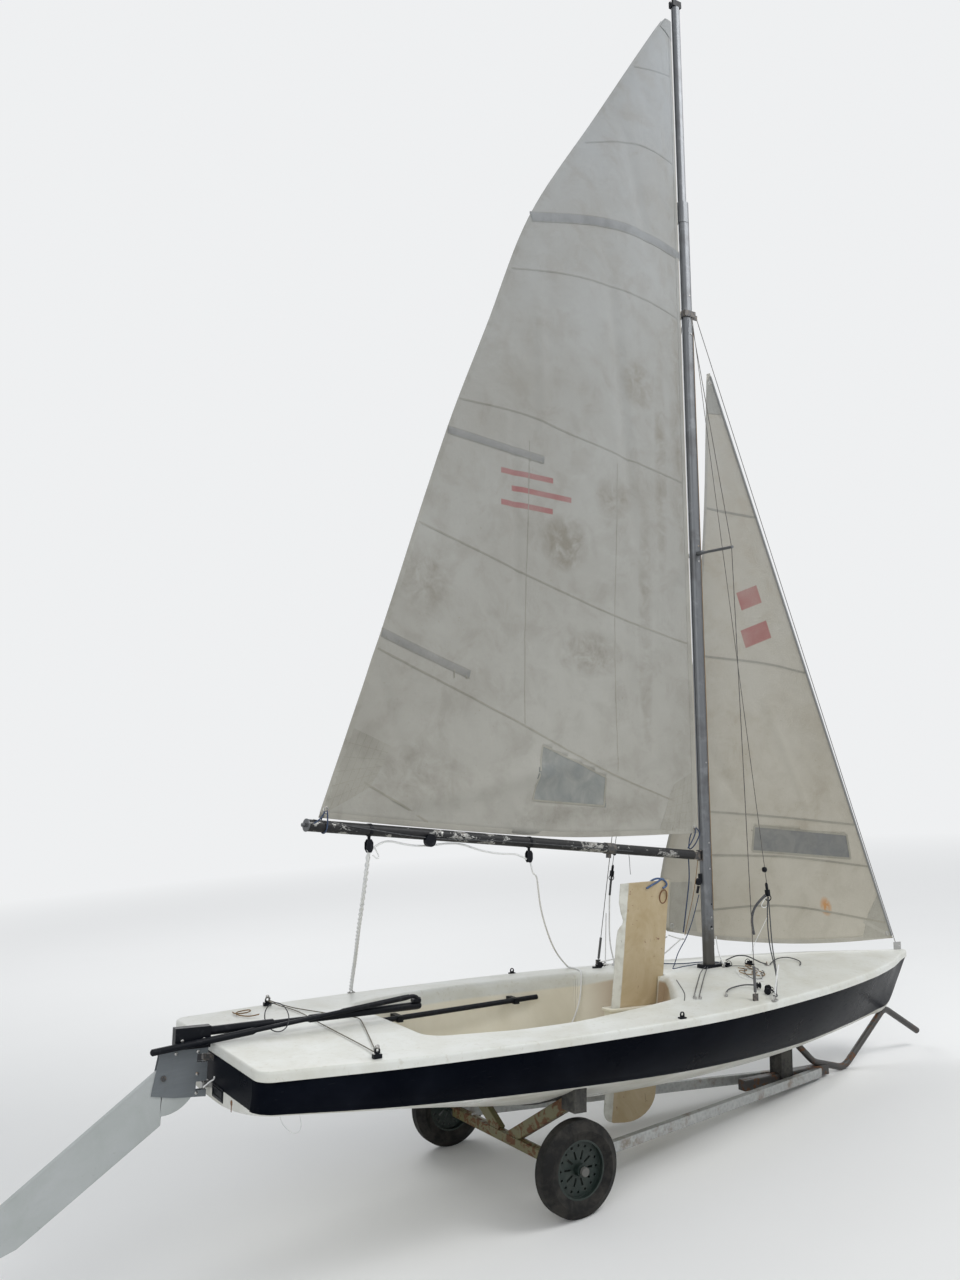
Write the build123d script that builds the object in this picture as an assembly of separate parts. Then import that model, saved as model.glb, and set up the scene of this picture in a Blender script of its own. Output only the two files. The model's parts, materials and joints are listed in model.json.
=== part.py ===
from build123d import *
import math
import os

# A two-person sailing dinghy, rigged, on its two-wheeled launching trolley. Millimetres, +Z up.
# Everything is drawn with the boat level: X from the transom towards the bow, Y to port, Z from
# the floor under the wheels. At the end the whole is tipped about the wheels' axle until the
# trolley's handle rests on the floor, which is how it parks, and moved over its box's middle.

# Hull
gunwale_height = 38
gunwale_overhang = 12
gunwale_roll = 12
cockpit_floor_z = 520
cockpit_top_z = 920
cockpit_taper = 7
liner = 6
seam = 0.5
station_spacing = 400
stern_corner_radius = 70
topside_bulge = 14
bottom_bulge = 26
chine_cut = 22
transom_drain_size = (6, 120, 36)
transom_drain_at = (0, -110, 580)

# Rig
mast_foot = (2752, 881)
mast_top = (2604, 6631)
mast_lower_end = 4432
mast_depth = 66
mast_width = 52
mast_corner = 24
upper_depth = 52
upper_width = 42
sleeve_length = 130
luff_gap = 9
luff_groove = (12, 7)
boom_swing = 7.5
boom_radius = 25
stay_radius = 2
hounds_t = 3725
spreader_t = 2285
spreader_radius = 8
spreader_tip = (2612, 375, 3125)
chainplate = (2470, 618, 812)
shroud_cover_radius = 7
shroud_cover_length = 120
bow_tang = (4312, 0, 905)
forestay_top_x = 76
bow_eye = (4338, 0, 905)
bow_eye_radius = 5

# Sails
sail_thickness = 3
pocket_thickness = 8
sail_columns = 4
headboard_thickness = 10

# Rudder and board
rudder_hinge_x = -25
rudder_pin_radius = 4
gudgeon_heights = (592, 700)
blade_pivot = (-195, 636)
blade_bolt_radius = 6
blade_root_radius = 146
blade_thickness = 20
cheek_gap = 11
cheek_thickness = 3
tiller_radius = 16
extension_radius = 11
board_foot = (2024, 168)
board_thickness = 22
board_edge = 6
board_bevel = 48
board_lean = 5.75
board_chord = 327
board_length = 1190
slot_gap = 5

# Trolley
wheel_x = 1449
wheel_radius = 200
wheel_y = 555
tyre_width = 100
rim_radius = 122
rim_width = 72
rim_web = 28
rim_sides = 32
rim_slots = 10
rim_holes = 16
hub_length = 92
spindle_radius = 12.5
spindle_end = 52
running_gap = 0.06
beam_z = 185
beam_size = 45
rail_height = 50
rail_width = 36
handle_radius = 19
handle_corners = [(3385, 432), (3548, 296), (3800, 238), (4172, 545), (4472, 384)]
handle_bends = [150, 105, 62]
handle_steps = 4

# Hull stations. x, half deck, deck edge z, half bilge, bilge z, keel z, deck camber
stations = [
    (0, 568, 752, 548, 590, 546, 2),
    (600, 662, 765, 596, 562, 462, 8),
    (1400, 718, 785, 612, 541, 338, 20),
    (2200, 704, 806, 556, 524, 326, 40),
    (3000, 566, 831, 385, 518, 372, 54),
    (3600, 390, 850, 205, 532, 446, 40),
    (4000, 222, 863, 84, 556, 512, 22),
    (4180, 122, 870, 34, 586, 548, 12),
    (4290, 66, 875, 20, 716, 694, 6),
    (4374, 28, 878, 10, 824, 812, 2),
]
forefoot_x = 4000
# Half outline of the cockpit well above the deck, before its corners are rounded. x, y, radius
cockpit_corners = [(790, 405, 110), (1170, 502, 500), (1480, 520, 900), (1900, 462, 900),
                   (2160, 412, 90), (2395, 66, 62)]

# Sails as rows of height, luff edge, leech edge, belly. Heights are from the mast's foot for the
# mainsail and from the tack for the jib, and the edges are measured aft from the luff's line
mainsail_rows = [
    (5604, 8, 60, -2),
    (5526, 8, 126, -6),
    (4679, 8, 694, -52),
    (3935, 8, 1186, -62),
    (3249, 8, 1484, -50),
    (2661, 8, 1735, -26),
    (1655, 8, 2104, 16),
    (850, 8, 2410, 8),
    (690, 8, 2470, 4),
]
mainsail_foot = [(2480, 862), (1892, 801), (1293, 746), (847, 721), (0, 714)]
jib_rows = [
    (3640, 0, 24, -1),
    (2635, 0, 456, -14),
    (1500, 0, 1052, -46),
    (723, 0, 1459, -52),
    (350, 0, 800, -22),
    (30, 0, 76, -2),
]
# Batten pockets. aft height, forward end's distance from the luff, its height, width
batten_pockets = [(3929, 8, 4085, 62), (2661, 1134, 2617, 44), (1656, 1598, 1499, 44)]
boom_ends = [(60, 599), (2462, 826)]
jib_tack = (4283, 0, 950)
jib_head = (2819, 0, 4324)
jib_clew = (2679, 257, 1020)

# Sheet blocks under the boom, by distance aft of the luff
sheet_block_places = [2159, 1250]
vang_place = 706
cheek_block_place = 1859
# Eyes on the side decks. x, y, z
deck_eyes = [(460, 600, 774), (1929, 700, 800)]
stowed_pole = [(900, 372, 686), (1890, 398, 724)]
stowed_pole_radius = 13

parts = {}


def bend_centre(before, corner, after, radius):
    """Centre of the arc that rounds a corner of a path in the XZ plane."""
    one = Vector(before[0] - corner[0], before[1] - corner[1]).normalized()
    two = Vector(after[0] - corner[0], after[1] - corner[1]).normalized()
    half = math.radians(one.get_angle(two)) / 2
    reach = (one + two).normalized() * (radius / math.sin(half))
    return corner[0] + reach.X, corner[1] + reach.Y


def parking_angle():
    """How far the nose drops before the handle's low bend meets the floor."""
    x, z = bend_centre(*handle_corners[1:4], handle_bends[1])
    dx, dz = x - wheel_x, z - wheel_radius
    under = handle_bends[1] + handle_radius - wheel_radius
    return math.degrees(math.atan2(dz, dx) - math.asin(under / math.hypot(dx, dz)))


nose_down = parking_angle()
box_middle = 1818
stance = (Location((wheel_x - box_middle, 0, wheel_radius)) * Rotation(0, nose_down, 0)
          * Location((-wheel_x, 0, -wheel_radius)))
mast_run = (mast_top[0] - mast_foot[0], mast_top[1] - mast_foot[1])
mast_rake = math.degrees(math.atan2(-mast_run[0], mast_run[1]))
mast_length = math.hypot(*mast_run)
mast_frame = Location((mast_foot[0], 0, mast_foot[1])) * Rotation(0, -mast_rake, 0)
# In the sail's plane: local -X is aft from the luff, local Z is up the mast
luff_x = -mast_depth / 2 - luff_gap
boom_frame = mast_frame * Location((luff_x, 0, 0)) * Rotation(0, 0, boom_swing)
board_frame = Location((board_foot[0], 0, board_foot[1])) * Rotation(0, board_lean, 0)


def add(name, shape, frame=None):
    """Keep a piece, moved from its own frame into the boat and then into the parked stance."""
    placed = shape if frame is None else frame * shape
    parts[name] = stance * placed


def largest(shape):
    """The biggest solid that a cut has left."""
    return shape.solids().sort_by(SortBy.VOLUME)[-1]


def solid_box(x, y, z):
    """A box from three (low, high) pairs."""
    size = [pair[1] - pair[0] for pair in (x, y, z)]
    return Pos(*[sum(pair) / 2 for pair in (x, y, z)]) * Box(*size)


def rod(start, end, radius):
    """A round bar between two points."""
    start, end = Vector(*start), Vector(*end)
    along = end - start
    return Plane(origin=start, z_dir=along) * Cylinder(
        radius, along.length, align=(Align.CENTER, Align.CENTER, Align.MIN))


def small_rod(start, end, radius, sides=16):
    """A small round bar between two points, with flat sides that keep it light."""
    start, end = Vector(*start), Vector(*end)
    along = end - start
    return extrude(Plane(origin=start, z_dir=along) * RegularPolygon(radius, sides), along.length)


def beam(start, end, width, height, corner=5):
    """A box-section tube between two points, its height as near upright as it goes."""
    start, end = Vector(*start), Vector(*end)
    along = end - start
    side = Vector(0, 0, 1).cross(along).normalized()
    section = RectangleRounded(width, height, corner)
    return extrude(Plane(origin=start, x_dir=side, z_dir=along) * section, along.length)


def plate(points, thickness):
    """A plate of even thickness about the XZ plane, from (x, z) corners."""
    face = make_face(Polyline(*[(x, 0, z) for x, z in points], close=True))
    return extrude(face, thickness / 2, dir=(0, 1, 0), both=True)


def both_sides(shape):
    """A piece and its mirror image across the centreline."""
    return shape + mirror(shape, Plane.XZ)


def station_at(x):
    """The hull's station at x, on smooth curves through the table's rows."""
    k = max(i for i in range(len(stations) - 1) if stations[i][0] <= x)
    here, there = stations[k], stations[k + 1]
    step = there[0] - here[0]
    t = (x - here[0]) / step

    def slopes(i):
        low, high = stations[max(i - 1, 0)], stations[min(i + 1, len(stations) - 1)]
        return [(b - a) / (high[0] - low[0]) * step for a, b in zip(low, high)]

    row = [a + t * t * (3 - 2 * t) * (b - a) + t * (1 - t) * ((1 - t) * m - t * n)
           for a, b, m, n in zip(here, there, slopes(k), slopes(k + 1))]
    return (x, *row[1:])


def fair_stations():
    """Even stations to the forefoot, then the table's own rows up the stem."""
    count = round(forefoot_x / station_spacing)
    even = [station_at(forefoot_x * i / count) for i in range(count)]
    return even + [row for row in stations if row[0] >= forefoot_x]


def bowed(start, end, bulge, count):
    """Points from start up to end on a line that bows out to its right by bulge at its middle."""
    along = end - start
    out = Vector(along.Y, -along.X).normalized() * (4 * bulge)
    shares = [i / count for i in range(count)]
    return [start + along * share + out * (share * (1 - share)) for share in shares]


def mirrored_ring(x, half):
    """A closed ring of points across the boat at x, from its port half."""
    return [(x, p.X, p.Y) for p in half] + [(x, -p.X, p.Y) for p in reversed(half) if p.X > 0]


def plated(rings):
    """A solid of flat plates between rings of points, one ring for each section."""
    corners = [rings[0], rings[-1]]
    for here, there in zip(rings, rings[1:]):
        for i in range(len(here)):
            a, b, c, d = here[i - 1], here[i], there[i], there[i - 1]
            on_port = a[1] + b[1] > 0
            corners += [(a, b, c), (a, c, d)] if on_port else [(a, b, d), (b, c, d)]
    return Solid(Shell([make_face(Polyline(*ring, close=True)).face() for ring in corners]))


def hull_section(x, half_deck, deck_z, half_bilge, bilge_z, keel_z, camber):
    """Topsides, a soft chine and a shallow vee."""
    top = Vector(half_deck - min(gunwale_overhang, half_deck / 3), deck_z - gunwale_height - seam)
    bilge, keel = Vector(half_bilge, bilge_z), Vector(0, keel_z)
    share = half_deck / stations[2][1]
    cut = min(chine_cut, half_bilge / 3)
    over = bilge + (top - bilge).normalized() * cut
    below = bilge + (keel - bilge).normalized() * cut
    turn = bilge * 0.4 + (over + below) * 0.3
    half = bowed(keel, below, bottom_bulge * share, 3) + [below, turn] + bowed(over, top, topside_bulge * share, 3)
    return mirrored_ring(x, half + [top])


def deck_section(x, half_deck, deck_z, half_bilge, bilge_z, keel_z, camber):
    """The deck's crown with a rounded gunwale that hangs outside the topsides."""
    low_z = deck_z - gunwale_height
    roll = min(gunwale_roll, half_deck / 3)
    edge, crown = Vector(half_deck - roll, deck_z), Vector(0, deck_z + camber)
    half = [Vector(half_deck, low_z), Vector(half_deck, deck_z - roll),
            Vector(half_deck - 0.3 * roll, deck_z - 0.3 * roll)]
    return mirrored_ring(x, half + bowed(edge, crown, camber / 4, 2) + [crown])


def cockpit_plan(grow):
    """The cockpit's rounded outline, grown evenly outwards."""
    side = [(x, y) for x, y, radius in cockpit_corners]
    face = make_face(Polyline(*side, *[(x, -y) for x, y in reversed(side)], close=True))
    for x, y, radius in cockpit_corners:
        corners = [v for v in face.vertices() if abs(v.X - x) < 1 and abs(abs(v.Y) - y) < 1]
        face = fillet(corners, radius)
    return offset(face, grow)


def cockpit_space(grow, depth):
    """What the cockpit's tapered walls enclose, from above the deck down to its floor."""
    shrink = (cockpit_top_z - cockpit_floor_z) * math.tan(math.radians(cockpit_taper))
    high = Pos(0, 0, cockpit_top_z) * cockpit_plan(grow)
    low = Pos(0, 0, cockpit_floor_z - depth) * cockpit_plan(grow - shrink)
    return loft([high, low], ruled=True)


def stern_corners(half_width, inset):
    """What is cut off to round the stern's two corners in plan."""
    reach, top = stern_corner_radius, 1000
    y = half_width - reach + 8 - inset
    block = solid_box((inset - 5, inset + reach), (y, half_width + 60), (0, top))
    return both_sides(block - rod((inset + reach, y, 0), (inset + reach, y, top), reach))


def board_trunk():
    """The slot that the board slides in, and the casing around it in the cockpit."""
    slot = Pos(board_chord / 2, 0, 300) * Box(
        board_chord + 2 * slot_gap, board_thickness + 2 * slot_gap, 900)
    space = board_frame * slot
    casing = solid_box((2052, 2452), (-36, 36), (cockpit_floor_z, 716))
    casing = fillet(casing.edges().filter_by(Axis.Z), 20)
    lip = solid_box((2040, 2460), (-44, 44), (704, 716))
    casing += fillet(lip.edges().filter_by(Axis.Z), 24)
    return space, casing - space


def build_hull():
    rows = fair_stations()
    half_stern = rows[0][1]
    body = plated([hull_section(*row) for row in rows])
    body -= stern_corners(half_stern, gunwale_overhang)
    deck = plated([deck_section(*row) for row in rows])
    deck -= stern_corners(half_stern, 0)
    inside, outside = cockpit_space(0, 0), cockpit_space(liner, liner)
    board_space, trunk = board_trunk()
    tub = largest(outside - inside - deck)
    add("hull", body - outside - board_space)
    add("deck", largest(deck - inside - board_space))
    add("cockpit_liner", tub - board_space)
    add("board_trunk", (trunk & inside) - tub)
    size = [(at - span / 2, at + span / 2) for at, span in zip(transom_drain_at, transom_drain_size)]
    drain = solid_box((-transom_drain_size[0], 0), *size[1:])
    flap = solid_box((-transom_drain_size[0], -3), *[(low + 7, high - 7) for low, high in size[1:]])
    add("transom_drain", drain - flap)
    return body, deck, inside


def build_deck_gear(deck, inside):
    eyes = []
    for x, y, z in deck_eyes:
        base = solid_box((x - 18, x + 18), (y - 10, y + 10), (z - 12, z + 5))
        ear = Pos(x, y, z + 12) * Rotation(90, 0, 0) * extrude(SlotOverall(34, 24, rotation=90), 3, both=True)
        hole = Pos(x, y, z + 18) * Rotation(90, 0, 0) * extrude(RegularPolygon(7, 8), 10, both=True)
        eye = largest(base + ear - hole - deck)
        eyes += [eye, mirror(eye, Plane.XZ)]
    add("deck_eyes", Compound(children=eyes))
    start, end = [Vector(*point) for point in stowed_pole]
    pole = rod(start, end, stowed_pole_radius)
    clips = []
    for share in (0.16, 0.86):
        at = start + (end - start) * share
        clip = solid_box((at.X - 15, at.X + 15), (at.Y - 18, at.Y + 140), (at.Z - 18, at.Z + 12))
        clips.append(largest((clip & inside) - pole))
    add("stowed_pole", pole)
    add("pole_clips", Compound(children=clips))


def build_board():
    """A flat foil: round nose, bevelled tail, and a broken place high on the tail's edge."""
    half, edge = board_thickness / 2, board_edge / 2
    nose = board_chord - half
    back = Polyline((nose, -half), (board_bevel, -half), (0, -edge), (0, edge), (board_bevel, half), (nose, half))
    section = make_face([back, ThreePointArc((nose, half), (board_chord, 0), (nose, -half))])
    board = extrude(section, board_length)
    outline = Rectangle(board_chord, board_length, align=(Align.MIN, Align.MIN))
    outline = fillet(outline.vertices().group_by(Axis.Y)[0], 60)
    board &= Rotation(90, 0, 0) * extrude(outline, board_thickness, both=True)
    broken = [(-1, 1065), (7, 1050), (14, 1032), (10, 1012), (19, 990), (8, 968), (-1, 950)]
    board -= plate(broken, board_thickness + 2)
    add("daggerboard", board, board_frame)


def mast_section(length):
    return extrude(RectangleRounded(mast_depth, mast_width, mast_corner), length)


def build_mast(deck):
    shift = (upper_depth - mast_depth) / 2
    upper = Pos(shift, 0, mast_lower_end) * extrude(
        RectangleRounded(upper_depth, upper_width, 19), mast_length - mast_lower_end - 40)
    groove = Pos(-mast_depth / 2, 0, mast_length / 2 + 350) * Box(*luff_groove, mast_length - 700)
    sleeve = Pos(shift / 2, 0, mast_lower_end - sleeve_length) * extrude(
        RectangleRounded(mast_depth + 4, mast_width + 4, mast_corner + 1), sleeve_length)
    lower = mast_section(mast_lower_end - sleeve_length) + sleeve
    add("mast_lower", lower - groove, mast_frame)
    add("mast_upper", upper - groove - sleeve, mast_frame)
    cap = Pos(-8, 0, mast_length - 20) * Box(upper_depth + 14, upper_width, 40)
    wheel_slot = Pos(-8 - upper_depth / 2, 0, mast_length - 14) * Box(30, 12, 40)
    sheave = Pos(-upper_depth / 2, 0, mast_length - 22) * Rotation(90, 0, 0) * Cylinder(14, 10)
    add("masthead", (cap - wheel_slot) + sheave, mast_frame)
    step = solid_box((mast_foot[0] - 62, mast_foot[0] + 72), (-34, 34), (860, 892))
    step = fillet(step.edges().filter_by(Axis.Z), 12)
    add("mast_step", step - deck - mast_frame * mast_section(200))


def build_shrouds(deck, mast):
    def on_mast(t, y=0.0, x=0.0):
        return (mast_frame * Location((x, y, t))).position

    side = -mast_width / 2
    tip = (spreader_tip[0], -spreader_tip[1], spreader_tip[2])
    foot = (chainplate[0], -chainplate[1], chainplate[2] + 20)
    shroud = rod(tip, on_mast(hounds_t, side - 4), stay_radius) + rod(foot, tip, stay_radius)
    arm = small_rod(on_mast(spreader_t, side + 1), (tip[0], tip[1] - 6, tip[2]), spreader_radius)
    root = small_rod(on_mast(spreader_t, side + 1), on_mast(spreader_t, side - 42, -4), spreader_radius + 5)
    arm = arm + root - shroud - mast
    plates = solid_box((chainplate[0] - 14, chainplate[0] + 14), (foot[1] - 5, foot[1] + 5),
                       (chainplate[2] - 40, chainplate[2] + 40))
    chain = (plates - shroud - deck).solids().sort_by(Axis.Z)[-1]
    up = (Vector(*tip) - Vector(*foot)).normalized()
    low = Vector(*foot) + up * 26
    cover = rod(low, low + up * shroud_cover_length, shroud_cover_radius) - rod(foot, tip, stay_radius + running_gap)
    for name, shape in (("spreader", arm), ("shroud", shroud), ("chainplate", chain)):
        add(name + "_starboard", shape)
        add(name + "_port", mirror(shape, Plane.XZ))
    add("shroud_covers", Compound(children=[cover, mirror(cover, Plane.XZ)]))
    tangs = mast_frame * Pos(0, 0, hounds_t) * Box(mast_depth + 16, mast_width + 14, 36)
    tangs += mast_frame * Pos(forestay_top_x / 2 + 15, 0, hounds_t) * Box(forestay_top_x - 20, 6, 30)
    stay = rod(bow_tang, on_mast(hounds_t, 0, forestay_top_x), stay_radius)
    add("hounds", tangs - mast - both_sides(shroud) - stay)
    add("forestay", stay)
    tang = solid_box((4290, 4352), (-3, 3), (860, 925)) - deck - stay
    tang -= rod((bow_eye[0], -20, bow_eye[2]), (bow_eye[0], 20, bow_eye[2]), bow_eye_radius)
    add("bow_fitting", tang.solids().sort_by(Axis.Z)[-1])


def cloth(rows, thickness, aft):
    """A sail sewn from flat panels that follow its belly, as rows from edge to edge."""
    grid = []
    for height, luff, leech, belly in rows:
        shares = [i / sail_columns for i in range(sail_columns + 1)]
        grid.append([(aft * (luff + (leech - luff) * share), 4 * belly * share * (1 - share), height)
                     for share in shares])
    panels = []
    for high, low in zip(grid, grid[1:]):
        for i in range(sail_columns):
            for corners in ((high[i], high[i + 1], low[i]), (high[i + 1], low[i + 1], low[i])):
                panel = make_face(Polyline(*corners, close=True))
                panels.append(extrude(panel, thickness / 2, dir=(0, 1, 0), both=True))
    return panels[0].fuse(*panels[1:])


def leech_at(rows, height):
    """How far aft the leech is at a height."""
    for above, below in zip(rows, rows[1:]):
        if below[0] <= height <= above[0]:
            share = (height - below[0]) / (above[0] - below[0])
            return below[2] + share * (above[2] - below[2])


def build_sails():
    skin = cloth(mainsail_rows, sail_thickness, -1)
    thick = cloth(mainsail_rows, pocket_thickness, -1)
    for aft_height, forward, forward_height, width in batten_pockets:
        aft = leech_at(mainsail_rows, aft_height) - 6
        strip = [(-aft, aft_height - width / 2), (-forward, forward_height - width / 2),
                 (-forward, forward_height + width / 2), (-aft, aft_height + width / 2)]
        skin += thick & plate(strip, 400)
    skin += plate([(-8, 5608), (-62, 5606), (-112, 5520), (-8, 5470)], headboard_thickness)
    foot = [(-s, t) for s, t in mainsail_foot]
    skin -= plate(foot + [(0, 600), (-2480, 600)], 400)
    add("mainsail", largest(skin), boom_frame)
    tack, head, clew = Vector(*jib_tack), Vector(*jib_head), Vector(*jib_clew)
    luff = (head - tack).normalized()
    chord = (clew - tack) - luff * (clew - tack).dot(luff)
    add("jib", Plane(origin=tack, x_dir=chord, z_dir=luff).location * cloth(jib_rows, sail_thickness, 1))


def boom_height(place):
    """The boom's centre above the mast's foot, at a distance aft of the luff."""
    (near, low), (far, high) = boom_ends
    return low + (high - low) * (place - near) / (far - near)


def sheet_block(place):
    """A hanging block: a strap round the boom, two cheeks, a sheave and its pin."""
    z = boom_height(place)
    strap = Rotation(0, 90, 0) * (Cylinder(boom_radius + 2.5, 16) - Cylinder(boom_radius, 20))
    neck = Pos(0, 0, -boom_radius - 12) * Box(14, 5, 24)
    drop = -boom_radius - 42
    cheeks = []
    outline = [(-7, 28), (7, 28), (16, 14), (16, -12), (7, -28), (-7, -28), (-16, -12), (-16, 14)]
    for y in (-9, 9):
        cheeks.append(Pos(0, y, drop) * plate(outline, 4))
    pin = small_rod((0, -12, drop - 6), (0, 12, drop - 6), 3.5, 8)
    sheave = small_rod((0, -5.5, drop - 6), (0, 5.5, drop - 6), 13)
    yoke = Pos(0, 0, drop + 23) * Box(14, 20, 6)
    return Pos(-place, 0, z) * (strap + neck + cheeks[0] + cheeks[1] + yoke + pin + sheave)


def build_boom():
    start, end = [(-s, 0, t) for s, t in boom_ends]
    along = (Vector(*end) - Vector(*start)).normalized()
    tube = rod(start, end, boom_radius)
    add("boom_tube", tube, boom_frame)
    cap = small_rod(end, Vector(*end) + along * 6, boom_radius + 2, 24)
    cap += small_rod(end, Vector(*end) + along * 24, 8)
    add("boom_end", cap, boom_frame)
    blocks = [sheet_block(place) - tube for place in sheet_block_places]
    add("sheet_blocks", Compound(children=[largest(block) for block in blocks]), boom_frame)
    slope = math.degrees(math.atan2(along.Z, -along.X))
    collar = Cylinder(boom_radius + 3, 64) + Pos(boom_radius + 10, 0, 0) * Box(26, 5, 34)
    collar = Pos(-vang_place, 0, boom_height(vang_place)) * Rotation(0, 90 + slope, 0) * collar
    add("vang_bracket", largest(collar - tube), boom_frame)
    shell = small_rod((0, -11, 0), (0, 11, 0), 28, 32)
    place = Pos(-cheek_block_place, -boom_radius - 5, boom_height(cheek_block_place) - 26)
    add("cheek_block", largest(place * shell - tube), boom_frame)


def build_gooseneck(mast):
    pin_t = boom_ends[0][1] - 6
    jaws = [Pos(12, 0, z) * Box(44, 26, 6) for z in (-26, 26)]
    fork = Pos(18, 0, 0) * Box(20, 30, 58) + jaws[0] + jaws[1]
    bracket = Pos(luff_x, 0, pin_t) * (fork + Cylinder(4, 60))
    add("gooseneck", largest(mast_frame * bracket - mast))
    toggle = Pos(-24, 0, 0) * Box(48, 14, 40) + Cylinder(7, 45) - Cylinder(4 + running_gap, 80)
    tube = rod((-boom_ends[0][0], 0, boom_ends[0][1]), (-boom_ends[1][0], 0, boom_ends[1][1]), boom_radius)
    add("boom_toggle", largest(Pos(0, 0, pin_t) * toggle - tube), boom_frame)


def build_rudder():
    """A kick-up rudder: two cheeks on a front web, a blade that turns between them on a bolt."""
    px, pz = blade_pivot
    cheek = [(-17, 740), (-212, 740), (-241, 573), (-150, 556), (-19, 548)]
    hollow = [(-300, 500), (-36, 500), (-36, 722), (-66, 722), (-66, 800), (-300, 800)]
    head = plate(cheek, 2 * (cheek_gap + cheek_thickness)) - plate(hollow, 2 * cheek_gap)
    for z in gudgeon_heights:
        head -= solid_box((-62, 0), (-30, 30), (z - 17, z + 17))
    pin = rod((rudder_hinge_x, 0, 552), (rudder_hinge_x, 0, 738), rudder_pin_radius)
    add("rudder_pin", pin)
    bolt = rod((px, -20, pz), (px, 20, pz), blade_bolt_radius)
    for y in (-20, 14.5):
        nut = extrude(RegularPolygon(2 * blade_bolt_radius, 6), 5.5)
        bolt += Pos(px, y, pz) * Rotation(-90, 0, 0) * nut
    add("blade_bolt", bolt)
    add("rudder_head", head - pin - bolt)
    for name, z in zip(("gudgeon_lower", "gudgeon_upper"), gudgeon_heights):
        eye = solid_box((-36, 0), (-13, 13), (z - 11, z + 11))
        eye += solid_box((-3, 0), (-40, 40), (z - 11, z + 11))
        add(name, eye - rod((rudder_hinge_x, 0, z - 20), (rudder_hinge_x, 0, z + 20), rudder_pin_radius + running_gap))
    outline = [(-62, 552), (-75, 640), (-120, 716), (-228, 662), (-860, 180), (-850, 130), (-760, 70), (-700, 92)]
    blade = plate(outline, blade_thickness)
    ahead = solid_box((px, 0), (-20, 20), (pz - 400, pz + 400))
    blade = (blade - ahead) + (blade & ahead & rod((px, -20, pz), (px, 20, pz), blade_root_radius))
    add("rudder_blade", blade - rod((px, -20, pz), (px, 20, pz), blade_bolt_radius + running_gap))
    tiller = rod((-150, 0, 800), (974, 0, 824), tiller_radius)
    tiller += rod((880, 0, 822), (974, 0, 824), tiller_radius + 3)
    socket = solid_box((-158, -12), (-22, 22), (740, 824)) - tiller
    add("tiller_socket", largest(socket))
    extension = small_rod((-222, -46, 750), (906, -14, 866), extension_radius)
    extension += small_rod((-222, -46, 750), (40, -38.6, 776.9), extension_radius + 3)
    knuckle = small_rod((906, -14, 866), (940, -10, 846), 8)
    add("tiller_extension", largest(extension + knuckle - tiller))
    add("tiller", tiller)


def build_wheel(side):
    """A fat tyre on a moulded rim that has a ring of slots and a ring of small holes."""
    half, bead = tyre_width / 2, rim_width / 2
    # Half profile of the tyre. radius, distance from its middle
    shape = [(rim_radius, bead), (160, half), (wheel_radius, 24)]
    loop = [(r, 0, y) for r, y in shape] + [(r, 0, -y) for r, y in reversed(shape)]
    tyre = revolve(make_face(Polyline(*loop, close=True)), Axis.Z)
    recess = extrude(RegularPolygon(rim_radius - 8, rim_sides), rim_width / 2)
    rim = Cylinder(rim_radius, rim_width)
    for y in (rim_web / 2, -rim_web / 2 - rim_width / 2):
        rim -= Pos(0, 0, y) * recess
    rim += extrude(RegularPolygon(27, rim_sides), hub_length / 2, both=True)
    for i in range(rim_slots):
        rim -= Rotation(0, 0, 360 * i / rim_slots) * Pos(56, 0, 0) * Box(36, 9, rim_width)
    hole = extrude(RegularPolygon(6, 6), rim_width / 2, both=True)
    for i in range(rim_holes):
        rim -= Rotation(0, 0, 360 * i / rim_holes) * Pos(94, 0, 0) * hole
    rim -= Cylinder(spindle_radius + running_gap, 2 * hub_length)
    turn = Location((wheel_x, side * wheel_y, wheel_radius)) * Rotation(-90, 0, 0)
    name = "port" if side > 0 else "starboard"
    add("tyre_" + name, tyre, turn)
    add("rim_" + name, rim, turn)


def build_cradle(body):
    """The axle with its two arms up to pads at the chines, and the sling between them."""
    out = wheel_y + spindle_end
    axle = beam((wheel_x, -470, beam_z), (wheel_x, 470, beam_z), beam_size, beam_size)
    axle += rod((wheel_x, -out, wheel_radius), (wheel_x, out, wheel_radius), spindle_radius)
    for side in (-1, 1):
        axle += rod((wheel_x, side * out, wheel_radius), (wheel_x, side * (out + 14), wheel_radius), 19)
    add("axle", axle)
    arm = beam((wheel_x, -52, beam_z + 12), (wheel_x, -520, 466), 34, 60) - axle
    pad = solid_box((wheel_x - 32, wheel_x + 32), (-585, -488), (430, 530)) - arm - body
    pad = pad.solids().sort_by(Axis.Z)[0]
    arm = largest(arm) - body
    across = solid_box((wheel_x - 35, wheel_x + 35), (-487, 487), (250, 560))
    sling = ((Pos(0, 0, -8) * body) & across) - body - both_sides(arm)
    arm -= sling
    pad -= sling
    for name, shape in (("arm", arm), ("pad", pad)):
        add(name + "_starboard", shape)
        add(name + "_port", mirror(shape, Plane.XZ))
    add("sling", largest(sling))
    return axle


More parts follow.
